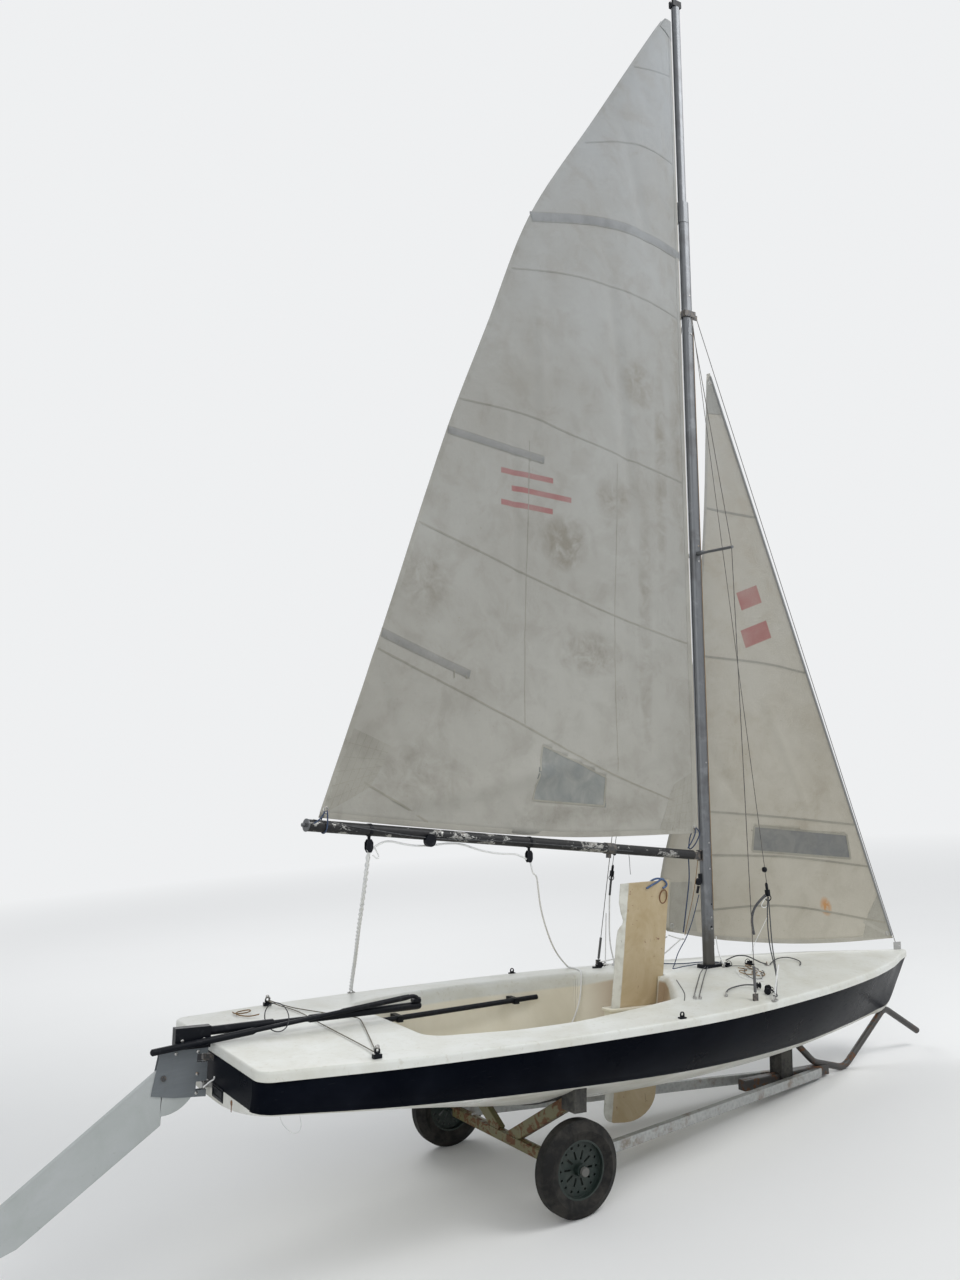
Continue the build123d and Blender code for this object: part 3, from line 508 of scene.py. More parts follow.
def setCamera():
    lens = bpy.data.cameras.new("camera")
    lens.lens, lens.sensor_width, lens.clip_start, lens.clip_end = view["lens"], view["sensor"], 0.05, 200
    camera = inScene("camera", lens)
    forward, right = Vector(view["forward"]).normalized(), Vector(view["right"])
    up = right.cross(forward).normalized()
    turn = Matrix((forward.cross(up), up, -forward)).transposed().to_4x4()
    camera.matrix_world = tipped @ Matrix.Translation(view["at"]) @ turn
    bpy.context.scene.camera = camera


# A plain pale floor and a pale backdrop, lit softly from above as under a thin cloud
studio = {"floorHalf": 60.0, "floorTone": (0.84, 0.84, 0.83), "floorFade": (4.0, 15.0),
          "backdrop": (0.86, 0.87, 0.88), "sky": 0.58, "lampsAimAt": (0, 0, 1.5),
          "lamps": [("key", (5.0, -4.5, 8.5), 4.0, 400), ("fill", (-6.5, -6.0, 5.0), 6.0, 190),
                    ("rim", (1.0, 8.0, 7.0), 6.0, 240)]}


def setStudio():
    scene = bpy.context.scene
    scene.view_settings.view_transform = "Standard"
    world = bpy.data.worlds.new("sky")
    scene.world = world
    world.use_nodes = True
    tree = world.node_tree
    light, shown = tree.nodes["Background"], tree.nodes.new("ShaderNodeBackground")
    light.inputs["Color"].default_value = (0.93, 0.96, 1.0, 1)
    light.inputs["Strength"].default_value = studio["sky"]
    shown.inputs["Color"].default_value = (*studio["backdrop"], 1)
    path, mixed = tree.nodes.new("ShaderNodeLightPath"), tree.nodes.new("ShaderNodeMixShader")
    either, more = (tree.nodes.new("ShaderNodeMath") for i in range(2))
    either.use_clamp = more.use_clamp = True
    # the camera, mirrors and glass see the backdrop, and everything else is lit by the sky
    for source, output, target, socket in (
            (path, "Is Camera Ray", either, 0), (path, "Is Glossy Ray", either, 1), (either, 0, more, 0),
            (path, "Is Transmission Ray", more, 1), (more, 0, mixed, 0), (light, 0, mixed, 1),
            (shown, 0, mixed, 2), (mixed, 0, tree.nodes["World Output"], 0)):
        tree.links.new(source.outputs[output], target.inputs[socket])
    half = studio["floorHalf"]
    floor = meshObject("floor", [(x * half, y * half, 0) for x, y in ((-1, -1), (1, -1), (1, 1), (-1, 1))],
                       [(0, 1, 2, 3)])
    ground = Finish("floorPaint", studio["floorTone"], 0.85)
    ground.set("Base Color", ground.mix(ground.noise(0.8, 4), (0.83, 0.83, 0.82), (0.86, 0.86, 0.85)))
    # far off, what the camera and reflections see of the floor turns into the backdrop
    reach = ground.node("ShaderNodeVectorMath", {"operation": "LENGTH"}, {0: ground.place}, "Value")
    seen, mirrored, through = (ground.node("ShaderNodeLightPath", {}, {}, "Is %s Ray" % kind)
                               for kind in ("Camera", "Glossy", "Transmission"))
    near, far = studio["floorFade"]
    fade = ((reach - near) / (far - near)).clamp() * (seen + mirrored + through).clamp()
    pale = ground.node("ShaderNodeEmission", {}, {"Color": (*studio["backdrop"], 1)})
    lit = Signal(ground, ground.shader.outputs[0])
    mixed = ground.node("ShaderNodeMixShader", {}, {0: fade, 1: lit, 2: pale})
    ground.feed(ground.tree.nodes["Material Output"].inputs["Surface"], mixed)
    floor.data.materials.append(ground.material)
    for name, at, size, power in studio["lamps"]:
        lamp = bpy.data.lights.new(name, "AREA")
        lamp.size, lamp.energy = size, power
        lampObject = inScene(name, lamp)
        lampObject.location = at
        aimed = Vector(studio["lampsAimAt"]) - Vector(at)
        lampObject.rotation_euler = aimed.to_track_quat("-Z", "Y").to_euler()


def inScene(name, data):
    made = bpy.data.objects.new(name, data)
    bpy.context.scene.collection.objects.link(made)
    return made


def smoothed(made, sharp):
    # shades a mesh smooth, but for edges sharper than that many degrees
    made.data.shade_smooth()
    made.data.set_sharp_from_angle(angle=math.radians(sharp))
    return made


def meshObject(name, points, faces):
    mesh = bpy.data.meshes.new(name)
    mesh.from_pydata([tuple(p) for p in points], [], faces)
    return inScene(name, mesh)


def setVectors(made, name, vectors):
    # keeps a vector for each point of a mesh, which its material reads
    kept = made.data.attributes.new(name, "FLOAT_VECTOR", "POINT")
    kept.data.foreach_set("vector", [value for vector in vectors for value in vector])


def thicken(made, thick):
    body = made.modifiers.new("thickness", "SOLIDIFY")
    body.thickness, body.offset = thick, 0
    return made


def settle(piece, slotName, body, look=None):
    # gives a piece its finish, picked by its slot unless a look is given, and the body that it moves with
    piece.data.materials.append(finish[look or slotName].material)
    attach(piece, body)
    return piece


def softEdges():
    # CAD pieces keep their shape: their facets are welded and shaded smooth up to an angle
    group = bpy.data.node_groups.new("softEdges", "GeometryNodeTree")
    for way in ("INPUT", "OUTPUT"):
        group.interface.new_socket("Geometry", in_out=way, socket_type="NodeSocketGeometry")
    made = {kind: group.nodes.new(kind) for kind in (
        "NodeGroupInput", "NodeGroupOutput", "GeometryNodeMergeByDistance", "GeometryNodeInputMeshEdgeAngle",
        "FunctionNodeCompare")}
    faces, edges = (group.nodes.new("GeometryNodeSetShadeSmooth") for i in range(2))
    made["GeometryNodeMergeByDistance"].inputs["Distance"].default_value = facets["weld"]
    edges.domain = "EDGE"
    edges.inputs["Shade Smooth"].default_value = False
    made["FunctionNodeCompare"].inputs[1].default_value = math.radians(facets["smoothBelow"])
    for source, target, socket in (
            (made["NodeGroupInput"], made["GeometryNodeMergeByDistance"], 0),
            (made["GeometryNodeMergeByDistance"], faces, 0), (faces, edges, 0),
            (made["GeometryNodeInputMeshEdgeAngle"], made["FunctionNodeCompare"], 0),
            (made["FunctionNodeCompare"], edges, "Selection"), (edges, made["NodeGroupOutput"], 0)):
        group.links.new(source.outputs[0], target.inputs[socket])
    return group


# Millimetres that each CAD piece's edges are rounded by, where it isn't the usual, and the angles in degrees
# below which facets are shaded smooth and above which edges are rounded
easing = {"usual": 0.8, "drawbar": 2.0, "bow_chock": 4.0, "pad_port": 4.0, "pad_starboard": 4.0,
          "board_trunk": 3.0, "rudder_blade": 5.0, "tiller_socket": 3.0, "masthead": 2.0, "mast_step": 2.0}
facets = {"weld": 0.00002, "smoothBelow": 32, "easedAbove": 40}
easeless = ("shroud_port", "shroud_starboard", "forestay", "mast_lower", "mast_upper", "boom_tube", "sling")


# CAD pieces whose finish isn't their slot's
dullMetal = ("blade_bolt", "shroud_port", "shroud_starboard", "forestay", "hounds", "gooseneck",
             "gudgeon_upper",
             "boom_toggle", "vang_bracket", "chainplate_port", "chainplate_starboard")
looks = {**dict.fromkeys(dullMetal, "wire"), "jib": "jibCloth", "deck_eyes": "fitting_black",
         "cheek_block": "fitting_black"}


def dressCad():
    group = softEdges()
    slots = {part["node"]: part["material_slot"] for part in frame["record"]["subparts"]}
    for name, node in nodes.items():
        node.data.materials.clear()
        node.data.materials.append(finish[looks.get(name, slots[name])].material)
        if node.data.has_custom_normals:
            node.data.attributes.remove(node.data.attributes["custom_normal"])
        node.modifiers.new("soft", "NODES").node_group = group
        if name not in easeless:
            bevel = node.modifiers.new("eased", "BEVEL")
            bevel.width = easing.get(name, easing["usual"]) / 1000
            bevel.segments, bevel.limit_method = 2, "ANGLE"
            bevel.angle_limit = math.radians(facets["easedAbove"])
            bevel.harden_normals = True
    print("CAD pieces dressed")


class Piece:
    # gathers plain shapes, drawn in a local frame, into one mesh
    def __init__(self, name, place=tipped):
        self.name, self.place = name, place
        self.points, self.faces = [], []

    def grid(self, rows, closedAcross=False, closedAlong=False):
        # joins rows of points that all have the same count
        start, wide = len(self.points), len(rows[0])
        self.points += [Vector(p) for row in rows for p in row]
        for i in range(len(rows) - (0 if closedAlong else 1)):
            low, high = start + i * wide, start + (i + 1) % len(rows) * wide
            for j in range(wide - (0 if closedAcross else 1)):
                k = (j + 1) % wide
                self.faces.append((low + j, low + k, high + k, high + j))
        return self

    def cap(self, ring, flip=False):
        start = len(self.points)
        self.points += [Vector(p) for p in ring]
        face = tuple(range(start, start + len(ring)))
        self.faces.append(face[::-1] if flip else face)
        return self

    def tube(self, path, radius, sides, closed=False):
        # a round bar along a path; radius may be one number or one for each point
        path = [Vector(p) for p in path]
        radii = radius if isinstance(radius, (list, tuple)) else [radius] * len(path)
        count, rows, side = len(path), [], None
        for i, at in enumerate(path):
            ahead = path[(i + 1) % count] if closed or i < count - 1 else at
            behind = path[i - 1] if closed or i > 0 else at
            along = (ahead - behind).normalized()
            side = side or (Vector((0, 0, 1)) if abs(along.z) < 0.9 else Vector((1, 0, 0)))
            side = (side - along * side.dot(along)).normalized()
            rows.append(circle(at, side, along.cross(side), radii[i], sides))
        self.grid(rows, closedAcross=True, closedAlong=closed)
        if not closed:
            self.cap(rows[0], flip=True).cap(rows[-1])
        return self

    def lathe(self, profile, centre, axis, sides):
        # turns (radius, distance along the axis) pairs about an axis
        axis, side, other = squareTo(axis)
        rows = [circle(Vector(centre) + axis * along, side, other, radius, sides) for radius,
                along in profile]
        self.grid(rows, closedAcross=True)
        if profile[0][0] > 0:
            self.cap(rows[0], flip=True)
        if profile[-1][0] > 0:
            self.cap(rows[-1])
        return self

    def box(self, centre, size, along=(1, 0, 0), up=(0, 0, 1)):
        x = Vector(along).normalized()
        y = Vector(up).cross(x).normalized()
        z = x.cross(y)
        half = [d / 2 for d in size]
        ring = ((-1, -1), (1, -1), (1, 1), (-1, 1))
        rows = [[Vector(centre) + x * half[0] * a + y * half[1] * b + z * half[2] * c for a, b in ring]
                for c in (-1, 1)]
        return self.grid(rows, closedAcross=True).cap(rows[0], flip=True).cap(rows[1])

    def ring(self, centre, axis, radius, thick, sides, steps):
        axis, side, other = squareTo(axis)
        return self.tube(circle(Vector(centre), side, other, radius, steps), thick, sides, closed=True)

    def done(self, slotName, body, look=None, bevel=0.0, angle=35):
        made = meshObject(self.name, [self.place @ p for p in self.points], self.faces)
        mesh = bmesh.new()
        mesh.from_mesh(made.data)
        bmesh.ops.remove_doubles(mesh, verts=mesh.verts, dist=0.00001)
        bmesh.ops.recalc_face_normals(mesh, faces=mesh.faces)
        mesh.to_mesh(made.data)
        mesh.free()
        smoothed(made, angle)
        if bevel:
            eased = made.modifiers.new("eased", "BEVEL")
            eased.width, eased.segments, eased.limit_method = bevel, 2, "ANGLE"
            eased.harden_normals = True
        return settle(made, slotName, body, look)


def smoothPath(points, steps):
    # a smooth line through the points
    points = [Vector(p) for p in points]
    ends = [points[0] * 2 - points[1]] + points + [points[-1] * 2 - points[-2]]
    path = []
    for a, b, c, d in zip(ends, ends[1:], ends[2:], ends[3:]):
        for i in range(steps):
            t = i / steps
            path.append(((b * 2) + (c - a) * t + (a * 2 - b * 5 + c * 4 - d) * t * t
                         + (b * 3 - a - c * 3 + d) * t * t * t) / 2)
    return path + [points[-1]]


def rope(name, route, radius, look, body, slotName="webbing", place=tipped):
    # a rope as one NURBS spline
    curve = bpy.data.curves.new(name, "CURVE")
    curve.dimensions, curve.bevel_depth, curve.bevel_resolution, curve.use_fill_caps = "3D", radius, 3, True
    spline = curve.splines.new("NURBS")
    spline.points.add(len(route) - 1)
    for point, at in zip(spline.points, route):
        point.co = (*(place @ Vector(at)), 1)
    spline.order_u, spline.use_endpoint_u, spline.resolution_u = 3, True, 8
    return settle(inScene(name, curve), slotName, body, look)


def splineLine(made):
    # the points along a rope's own spline
    plain = made.data.copy()
    plain.bevel_depth = 0
    probe = bpy.data.objects.new("probe", plain)
    mesh = bpy.data.meshes.new_from_object(probe)
    line = [v.co.copy() for v in mesh.vertices]
    bpy.data.objects.remove(probe)
    bpy.data.meshes.remove(mesh)
    return line


def lineLength(line):
    return round(sum((b - a).length for a, b in zip(line, line[1:])), 3)


def freeRope(name, route, radius, look, body, place=tipped):
    # a rope that hangs or lies free; its real length is measured but not kept
    made = rope(name, route, radius, look, body, place=place)
    lineLength(splineLine(made))
    2 * radius


def smoothRow(table, x):
    # the values at x, on smooth curves through a table whose rows start with a rising x
    k = max([i for i in range(len(table) - 1) if table[i][0] <= x], default=0)
    here, there = table[k], table[k + 1]
    step = there[0] - here[0]
    t = min(max((x - here[0]) / step, 0), 1)

    def slopes(i):
        low, high = table[max(i - 1, 0)], table[min(i + 1, len(table) - 1)]
        return [(b - a) / (high[0] - low[0]) * step for a, b in zip(low, high)]

    return [a + t * t * (3 - 2 * t) * (b - a) + t * (1 - t) * ((1 - t) * m - t * n)
            for a, b, m, n in zip(here, there, slopes(k), slopes(k + 1))][1:]


# Hull sections. x, half deck, deck edge z, half bilge, bilge z, keel z, deck camber
stations = [
    (0.000, 0.568, 0.752, 0.548, 0.590, 0.546, 0.002),
    (0.600, 0.662, 0.765, 0.596, 0.562, 0.462, 0.008),
    (1.400, 0.718, 0.785, 0.612, 0.541, 0.338, 0.020),
    (2.200, 0.704, 0.806, 0.556, 0.524, 0.326, 0.040),
    (3.000, 0.566, 0.831, 0.385, 0.518, 0.372, 0.054),
    (3.600, 0.390, 0.850, 0.205, 0.532, 0.446, 0.040),
    (4.000, 0.222, 0.863, 0.084, 0.556, 0.512, 0.022),
    (4.180, 0.122, 0.870, 0.034, 0.586, 0.548, 0.012),
    (4.290, 0.066, 0.875, 0.020, 0.716, 0.694, 0.006),
    (4.374, 0.028, 0.878, 0.010, 0.824, 0.812, 0.002)]
hull = {"gunwaleHeight": 0.038, "overhang": 0.012, "roll": 0.012, "topsideBulge": 0.014, "bottomBulge": 0.026,
        "chineCut": 0.022, "paintAboveChine": 0.001, "transomPaint": 0.600, "sternRadius": 0.070,
        "bowRadius": 0.022, "length": 4.374, "forefoot": 4.0}
# Half outline of the cockpit at its top, before its corners are rounded. x, y, radius
cockpitCorners = [(0.790, 0.405, 0.110), (1.170, 0.502, 0.500), (1.480, 0.520, 0.900), (1.900, 0.462, 0.900),
                  (2.160, 0.412, 0.090), (2.395, 0.066, 0.062)]
cockpit = {"top": 0.920, "floor": 0.520, "taper": math.tan(math.radians(7)), "rimRoll": 0.034,
           "floorRoll": 0.035, "middle": (1.5, 0.0), "nose": (2.16, 2.30)}


def stationAt(x):
    # the hull's station at x; beyond the ends it is the end's
    return smoothRow(stations, x)


def deckHeight(x, y):
    # the crowned deck's height
    station = stationAt(x)
    halfDeck, deckZ, camber = station[0], station[1], station[-1]
    share = min(abs(y) / max(halfDeck - min(hull["roll"], halfDeck / 3), 0.001), 1)
    return deckZ + camber * (1 - share * share)


def sternInset(x):
    # how much narrower the rounded stern corners make the boat at x
    r = hull["sternRadius"]
    return 0.0 if x >= r else r - math.sqrt(max(r * r - (r - x) ** 2, 0))


def hullHalf(x):
    # port half of a section from the keel to under the gunwale, with each point's height over the paint line
    halfDeck, deckZ, halfBilge, bilgeZ, keelZ = stationAt(x)[:5]
    share = halfDeck / stations[2][1]
    top = Vector((halfDeck - min(hull["overhang"], halfDeck / 3), deckZ - hull["gunwaleHeight"]))
    bilge, keel = Vector((halfBilge, bilgeZ)), Vector((0, keelZ))
    cut = min(hull["chineCut"], halfBilge / 3)
    over, below = bilge + (top - bilge).normalized() * cut, bilge + (keel - bilge).normalized() * cut

    def bowed(start, end, bulge, count):
        along = end - start
        out = Vector((along.y, -along.x)).normalized() * (4 * bulge)
        return [start + along * (i / count) + out * (i / count * (1 - i / count)) for i in range(count)]

    half = bowed(keel, below, hull["bottomBulge"] * share, 12)
    half += [below * (1 - t) ** 2 + bilge * 2 * t * (1 - t) + over * t * t for t in (0, 0.2, 0.4, 0.6, 0.8)]
    half += bowed(over, top, hull["topsideBulge"] * share, 14) + [top]
    girth = [0.0]
    for p, q in zip(half, half[1:]):
        girth.append(girth[-1] + (q - p).length)
    turn = (girth[14] + girth[15]) / 2
    return [(p.x, p.y, reach - turn - hull["paintAboveChine"]) for p, reach in zip(half, girth)]


def buildHull():
    xs = [0.0, 0.004, 0.012, 0.025, 0.045] + evenly(hull["sternRadius"], hull["forefoot"], 56)
    xs += evenly(hull["forefoot"], hull["length"], 26)[1:]
    rows, levels = [], []
    for x in xs:
        half = hullHalf(x)
        inset = sternInset(x)
        port = [(x, max(y - inset * min(1, y / 0.3), 0), z) for y, z, above in half]
        rows.append([(a, -b, c) for a, b, c in reversed(port[1:])] + port)
        above = [point[2] for point in half]
        levels += above[:0:-1] + above
    piece = Piece("hullShell").grid(rows)
    stern = rows[0]
    middle = len(stern) // 2
    transom = [[tuple(a + (b - a) * share for a, b in zip(stern[middle - i], stern[middle + i]))
                for share in evenly(0, 1, 12)] for i in range(middle + 1)]
    piece.grid(transom)
    levels += [z - hull["transomPaint"] for row in transom for x, y, z in row]
    made = smoothed(meshObject("hullShell", [tipped @ p for p in piece.points], piece.faces), 50)
    setVectors(made, "paint", [(above, 0, 0) for above in levels])
    settle(made, "hull_black", "boat")
    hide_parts("hull")
    print("hull", len(made.data.polygons))


def roundedLoop(corners, step=0.15):
    # the closed outline of corners (x, y, radius), each rounded by an arc
    loop, count = [], len(corners)
    for i, (x, y, radius) in enumerate(corners):
        at = Vector((x, y))
        one = (Vector(corners[i - 1][:2]) - at).normalized()
        two = (Vector(corners[(i + 1) % count][:2]) - at).normalized()
        half = one.angle(two) / 2
        if radius == 0 or math.pi / 2 - half < 0.01:
            loop.append(at)
            continue
        centre = at + (one + two).normalized() * (radius / math.sin(half))
        start, sweep = at + one * (radius / math.tan(half)) - centre, math.pi - 2 * half
        steps = max(int(sweep / step), 2)
        hand = 1 if start.x * (at.y - centre.y) - start.y * (at.x - centre.x) > 0 else -1
        for k in range(steps + 1):
            a = hand * sweep * k / steps
            loop.append(centre + Vector((start.x * math.cos(a) - start.y * math.sin(a),
                                         start.x * math.sin(a) + start.y * math.cos(a))))
    return loop


def rayHit(loop, centre, angle):
    # where a ray from the centre leaves the loop
    way = Vector((math.cos(angle), math.sin(angle)))
    for a, b in pairs(loop):
        edge, off = b - a, a - centre
        cross = way.x * edge.y - way.y * edge.x
        if abs(cross) < 1e-12:
            continue
        reach, share = (off.x * edge.y - off.y * edge.x) / cross, (off.x * way.y - off.y * way.x) / cross
        if reach > 0 and -1e-9 <= share <= 1 + 1e-9:
            return centre + way * reach
    raise ValueError("the loop has no edge at that angle")


def evenPoints(loop, spacing):
    points = []
    for a, b in pairs(loop):
        count = max(1, round((b - a).length / spacing))
        points += [a + (b - a) * (k / count) for k in range(count)]
    return points


def bothSides(half):
    # an outline from its port half
    return half + [(x, -y, *more) for x, y, *more in reversed(half)]


def outwards(ring):
    # unit vectors square to a ring of plan points, away from its inside
    made = []
    for i in range(len(ring)):
        along = ring[(i + 1) % len(ring)] - ring[i - 1]
        made.append(Vector((along.y, -along.x)).normalized())
    return made


# The board's slot: its half width and its ends along the chord. Only faces near the search point are cut.
# The lining runs back from the slot's front, and up from a height on the board
boardSlot = {"half": 0.016, "aft": -0.005, "fore": 0.332, "searchX": 0.16, "reachX": 0.4, "reachY": 0.2,
             "lining": (0.050, 0.030, 0.0), "liningFoot": 0.40, "liningGap": 0.001,
             "deckGuess": 0.69}


def bisect(mesh, near, at, across):
    # cuts some faces of an open mesh along a plane
    parts = near + list({e for f in near for e in f.edges}) + list({v for f in near for v in f.verts})
    bmesh.ops.bisect_plane(mesh, geom=parts, plane_co=at, plane_no=across)


def cutSlot(made):
    # opens the moulding where the board goes through it, and lines the notch in the cockpit's nose
    mesh = bmesh.new()
    mesh.from_mesh(made.data)
    mesh.transform(onBoard.inverted())
    aft, fore, half = boardSlot["aft"], boardSlot["fore"], boardSlot["half"]
    for at, across in (((aft, 0, 0), (1, 0, 0)), ((fore, 0, 0), (1, 0, 0)),
                       ((0, half, 0), (0, 1, 0)), ((0, -half, 0), (0, 1, 0))):
        middles = [(face, face.calc_center_median()) for face in mesh.faces]
        near = [face for face, middle in middles if abs(middle.x - boardSlot["searchX"]) < boardSlot["reachX"]
                and abs(middle.y) < boardSlot["reachY"]]
        bisect(mesh, near, at, across)
    middles = [(face, face.calc_center_median()) for face in mesh.faces]
    gone = [face for face, middle in middles if aft < middle.x < fore and abs(middle.y) < half]
    bmesh.ops.delete(mesh, geom=gone, context="FACES")
    mesh.transform(onBoard)
    mesh.to_mesh(made.data)
    mesh.free()
    line = [(x, -y) for x, y in bothSides([(fore - back, half) for back in boardSlot["lining"]])]
    foot, rows = boardSlot["liningFoot"], []
    for share in evenly(0, 1, 4):
        row = []
        for x, y in line:
            top = Vector((x, y, boardSlot["deckGuess"]))
            for step in range(4):   # the board leans, so its place on the deck is found in steps
                at = tipped.inverted() @ onBoard @ top
                top.z += deckHeight(at.x, at.y) - at.z
            row.append((x, y, foot + (top.z - boardSlot["liningGap"] - foot) * share))
        rows.append(row)
    Piece("slotLining", onBoard).grid(rows).done("liner_cream", "boat")


def buildDeck():
    # one moulding: gunwale, crowned deck, rolled rim, cockpit walls and floor
    middle = Vector(cockpit["middle"])
    inner = roundedLoop(bothSides(cockpitCorners))
    side = [(x, stationAt(x)[0], 0) for x in evenly(0, hull["length"], 48)]
    side[0] = (*side[0][:2], hull["sternRadius"])
    side[-1] = (*side[-1][:2], hull["bowRadius"])
    outer = roundedLoop(bothSides(side))
    if sum(a.x * b.y - a.y * b.x for a, b in zip(inner, inner[1:])) < 0:
        inner, outer = inner[::-1], outer[::-1]
    angles = sorted({round(math.atan2(*(p - middle).yx), 4)
                     for p in evenPoints(inner, 0.022) + evenPoints(outer, 0.03)})
    spread = [angles[0]]
    for a in angles[1:]:
        if a - spread[-1] > 0.0028:
            spread.append(a)
    inner, outer = [rayHit(inner, middle, a) for a in spread], [rayHit(outer, middle, a) for a in spread]
    innerOut, outerOut = outwards(inner), outwards(outer)
    taper, roll, floorRoll = cockpit["taper"], cockpit["rimRoll"], cockpit["floorRoll"]
    lean = math.atan(taper)
    columns = []
    for p, n, q, m in zip(inner, innerOut, outer, outerOut):
        edgeZ = deckHeight(q.x, q.y)
        gunwale = min(hull["roll"], stationAt(q.x)[0] / 3)
        column = [(*(q - m * (gunwale + 0.004)), edgeZ - hull["gunwaleHeight"]),
                  (*q, edgeZ - hull["gunwaleHeight"]), (*q, edgeZ - gunwale - 0.012)]
        for a in evenly(0, math.pi / 2, 4):
            column.append((*(q - m * gunwale * (1 - math.cos(a))), edgeZ - gunwale * (1 - math.sin(a))))
        rimZ = deckHeight(p.x, p.y)
        out = -(cockpit["top"] - (rimZ - roll)) * taper + roll / math.cos(lean)
        rim, edge = p + n * out, q - m * gunwale
        for share in evenly(0, 1, 15)[1:-1]:
            at = edge + (rim - edge) * (1 - (1 - share) ** 1.4)
            column.append((*at, deckHeight(at.x, at.y)))
        rimZ = deckHeight(rim.x, rim.y)
        for a in evenly(0, math.pi / 2 - lean, 7):
            column.append((*(rim - n * roll * math.sin(a)), rimZ - roll * (1 - math.cos(a))))
        low = cockpit["floor"]
        out = -(cockpit["top"] - (low + floorRoll)) * taper - floorRoll / math.cos(lean)
        for a in evenly(math.pi / 2 - lean, 0, 6):
            column.append((*(p + n * (out + floorRoll * math.sin(a))), low + floorRoll * (1 - math.cos(a))))
        foot = p + n * out
        for k in range(1, 9):
            at = foot + (middle - foot) * (k / 8.001)
            column.append((*at, low + 0.0006))
        columns.append(column)
    piece = Piece("deckMoulding").grid(columns, closedAlong=True)
    made = smoothed(meshObject("deckMoulding", [tipped @ p for p in piece.points], piece.faces), 50)
    # how far under the deck each point is, and from the rim inwards how far into the cockpit's nose, where
    # the finish paints shade and dirt
    noseStart, noseFull = cockpit["nose"]
    setVectors(made, "inside", [
        (deckHeight(x, y) - z, (k > 21) * min(max((x - noseStart) / (noseFull - noseStart), 0), 1), 0)
        for column in columns for k, (x, y, z) in enumerate(column)])
    cutSlot(made)
    settle(made, "deck_white", "boat")
    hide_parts("deck", "cockpit_liner")
    print("deck", len(made.data.polygons))


# Sails. s is measured aft of the luff and t up it. Rows are t, luff, leech, belly to port; the foot is s, t.
# A sail's frame has -X aft and Z up the luff. Creases are s, t, lean, half length, half width, depth
mainsail = {
    "name": "mainsail", "look": "sailcloth", "body": "boom", "place": onBoom, "columns": 120, "rows": 190,
    "table": [(0.690, 0.008, 2.470, 0.004), (0.850, 0.008, 2.410, 0.008), (1.655, 0.008, 2.104, 0.016),
              (2.661, 0.008, 1.735, -0.026), (3.249, 0.008, 1.484, -0.050), (3.935, 0.008, 1.186, -0.062),
              (4.679, 0.008, 0.694, -0.052), (5.526, 0.008, 0.126, -0.006), (5.604, 0.008, 0.060, -0.002)],
    "foot": [(0.0, 0.714), (0.847, 0.721), (1.293, 0.746), (1.892, 0.801), (2.410, 0.855)],
    "tack": 0.714, "clew": 0.855, "head": 5.604, "luff": 0.008, "flat": (2.45, 5.0), "area": 6.75,
    "creases": [(0.56, 3.05, 0.14, 1.20, 0.050, 0.016), (0.50, 1.55, 0.05, 0.45, 0.045, 0.011),
                (1.30, 1.02, -1.42, 0.90, 0.045, -0.020), (0.95, 0.80, -1.46, 0.75, 0.030, 0.015),
                (1.75, 0.93, -1.50, 0.55, 0.030, -0.014), (0.35, 1.05, -1.25, 0.35, 0.025, 0.009),
                (1.15, 3.10, 0.02, 0.55, 0.035, -0.008), (0.42, 4.35, 0.25, 0.60, 0.050, 0.009),
                (1.32, 2.35, 0.04, 0.70, 0.030, 0.008), (2.05, 1.30, 0.35, 0.40, 0.040, 0.011)],
    "crumple": 0.0030, "thick": 0.0011}
jibSail = {
    "name": "jib", "look": "jibCloth", "body": "boat", "columns": 90, "rows": 130,
    "place": framed((4.283, 0, 0.950), (0.903, -0.175, 0.392), (-0.398, 0, 0.917)),
    "table": [(0.030, 0.0, 0.076, 0.002), (0.350, 0.0, 0.800, 0.022), (0.723, 0.0, 1.459, 0.052),
              (1.500, 0.0, 1.052, 0.046), (2.635, 0.0, 0.456, 0.014), (3.640, 0.0, 0.024, 0.001)],
    "foot": [(0.0, 0.0), (0.382, 0.150), (0.719, 0.300), (1.106, 0.500), (1.270, 0.600), (1.459, 0.723)],
    "tack": 0.004, "clew": 0.723, "head": 3.640, "luff": 0.0, "flat": (1.5, 3.65), "area": 2.69,
    "creases": [(0.62, 0.55, -1.05, 0.55, 0.030, 0.006), (1.05, 0.95, -0.75, 0.40, 0.035, 0.006),
                (0.30, 1.30, 0.05, 0.60, 0.030, -0.004), (0.75, 1.35, 0.30, 0.50, 0.040, 0.006)],
    "crumple": 0.0022, "thick": 0.0010}


def sailDepth(sail, s, t):
    # how far to port of the luff's plane the cloth stands: belly, long creases and small crumples
    luff, leech, belly = smoothRow(sail["table"], t)
    u = min(max((s - luff) / max(leech - luff, 0.02), 0), 1)
    depth = 4 * belly * u * (1 - u)
    for atS, atT, lean, halfLong, halfWide, deep in sail["creases"]:
        ds, dt = s - atS, t - atT
        along, across = dt * math.cos(lean) + ds * math.sin(lean), ds * math.cos(lean) - dt * math.sin(lean)
        if abs(along) < halfLong and abs(across) < 3 * halfWide:
            fade = math.cos(math.pi / 2 * along / halfLong) ** 2
            depth += deep * fade * math.exp(-(across / halfWide) ** 2)
    hold = min(1, (s - luff) / 0.12, (leech - s) / 0.15 + 0.25) * min(1, max(leech - luff, 0) / 0.4)
    wide = noise.noise(Vector((s * 2.2, t * 1.6, 3.1))) * 2.2
    small = noise.noise(Vector((s * 9, t * 11, 7.7))) + 0.5 * noise.noise(Vector((s * 15, t * 17, 1.3)))
    return depth + sail["crumple"] * max(hold, 0) * (wide + small * (1.4 if t < 1.8 else 0.8))


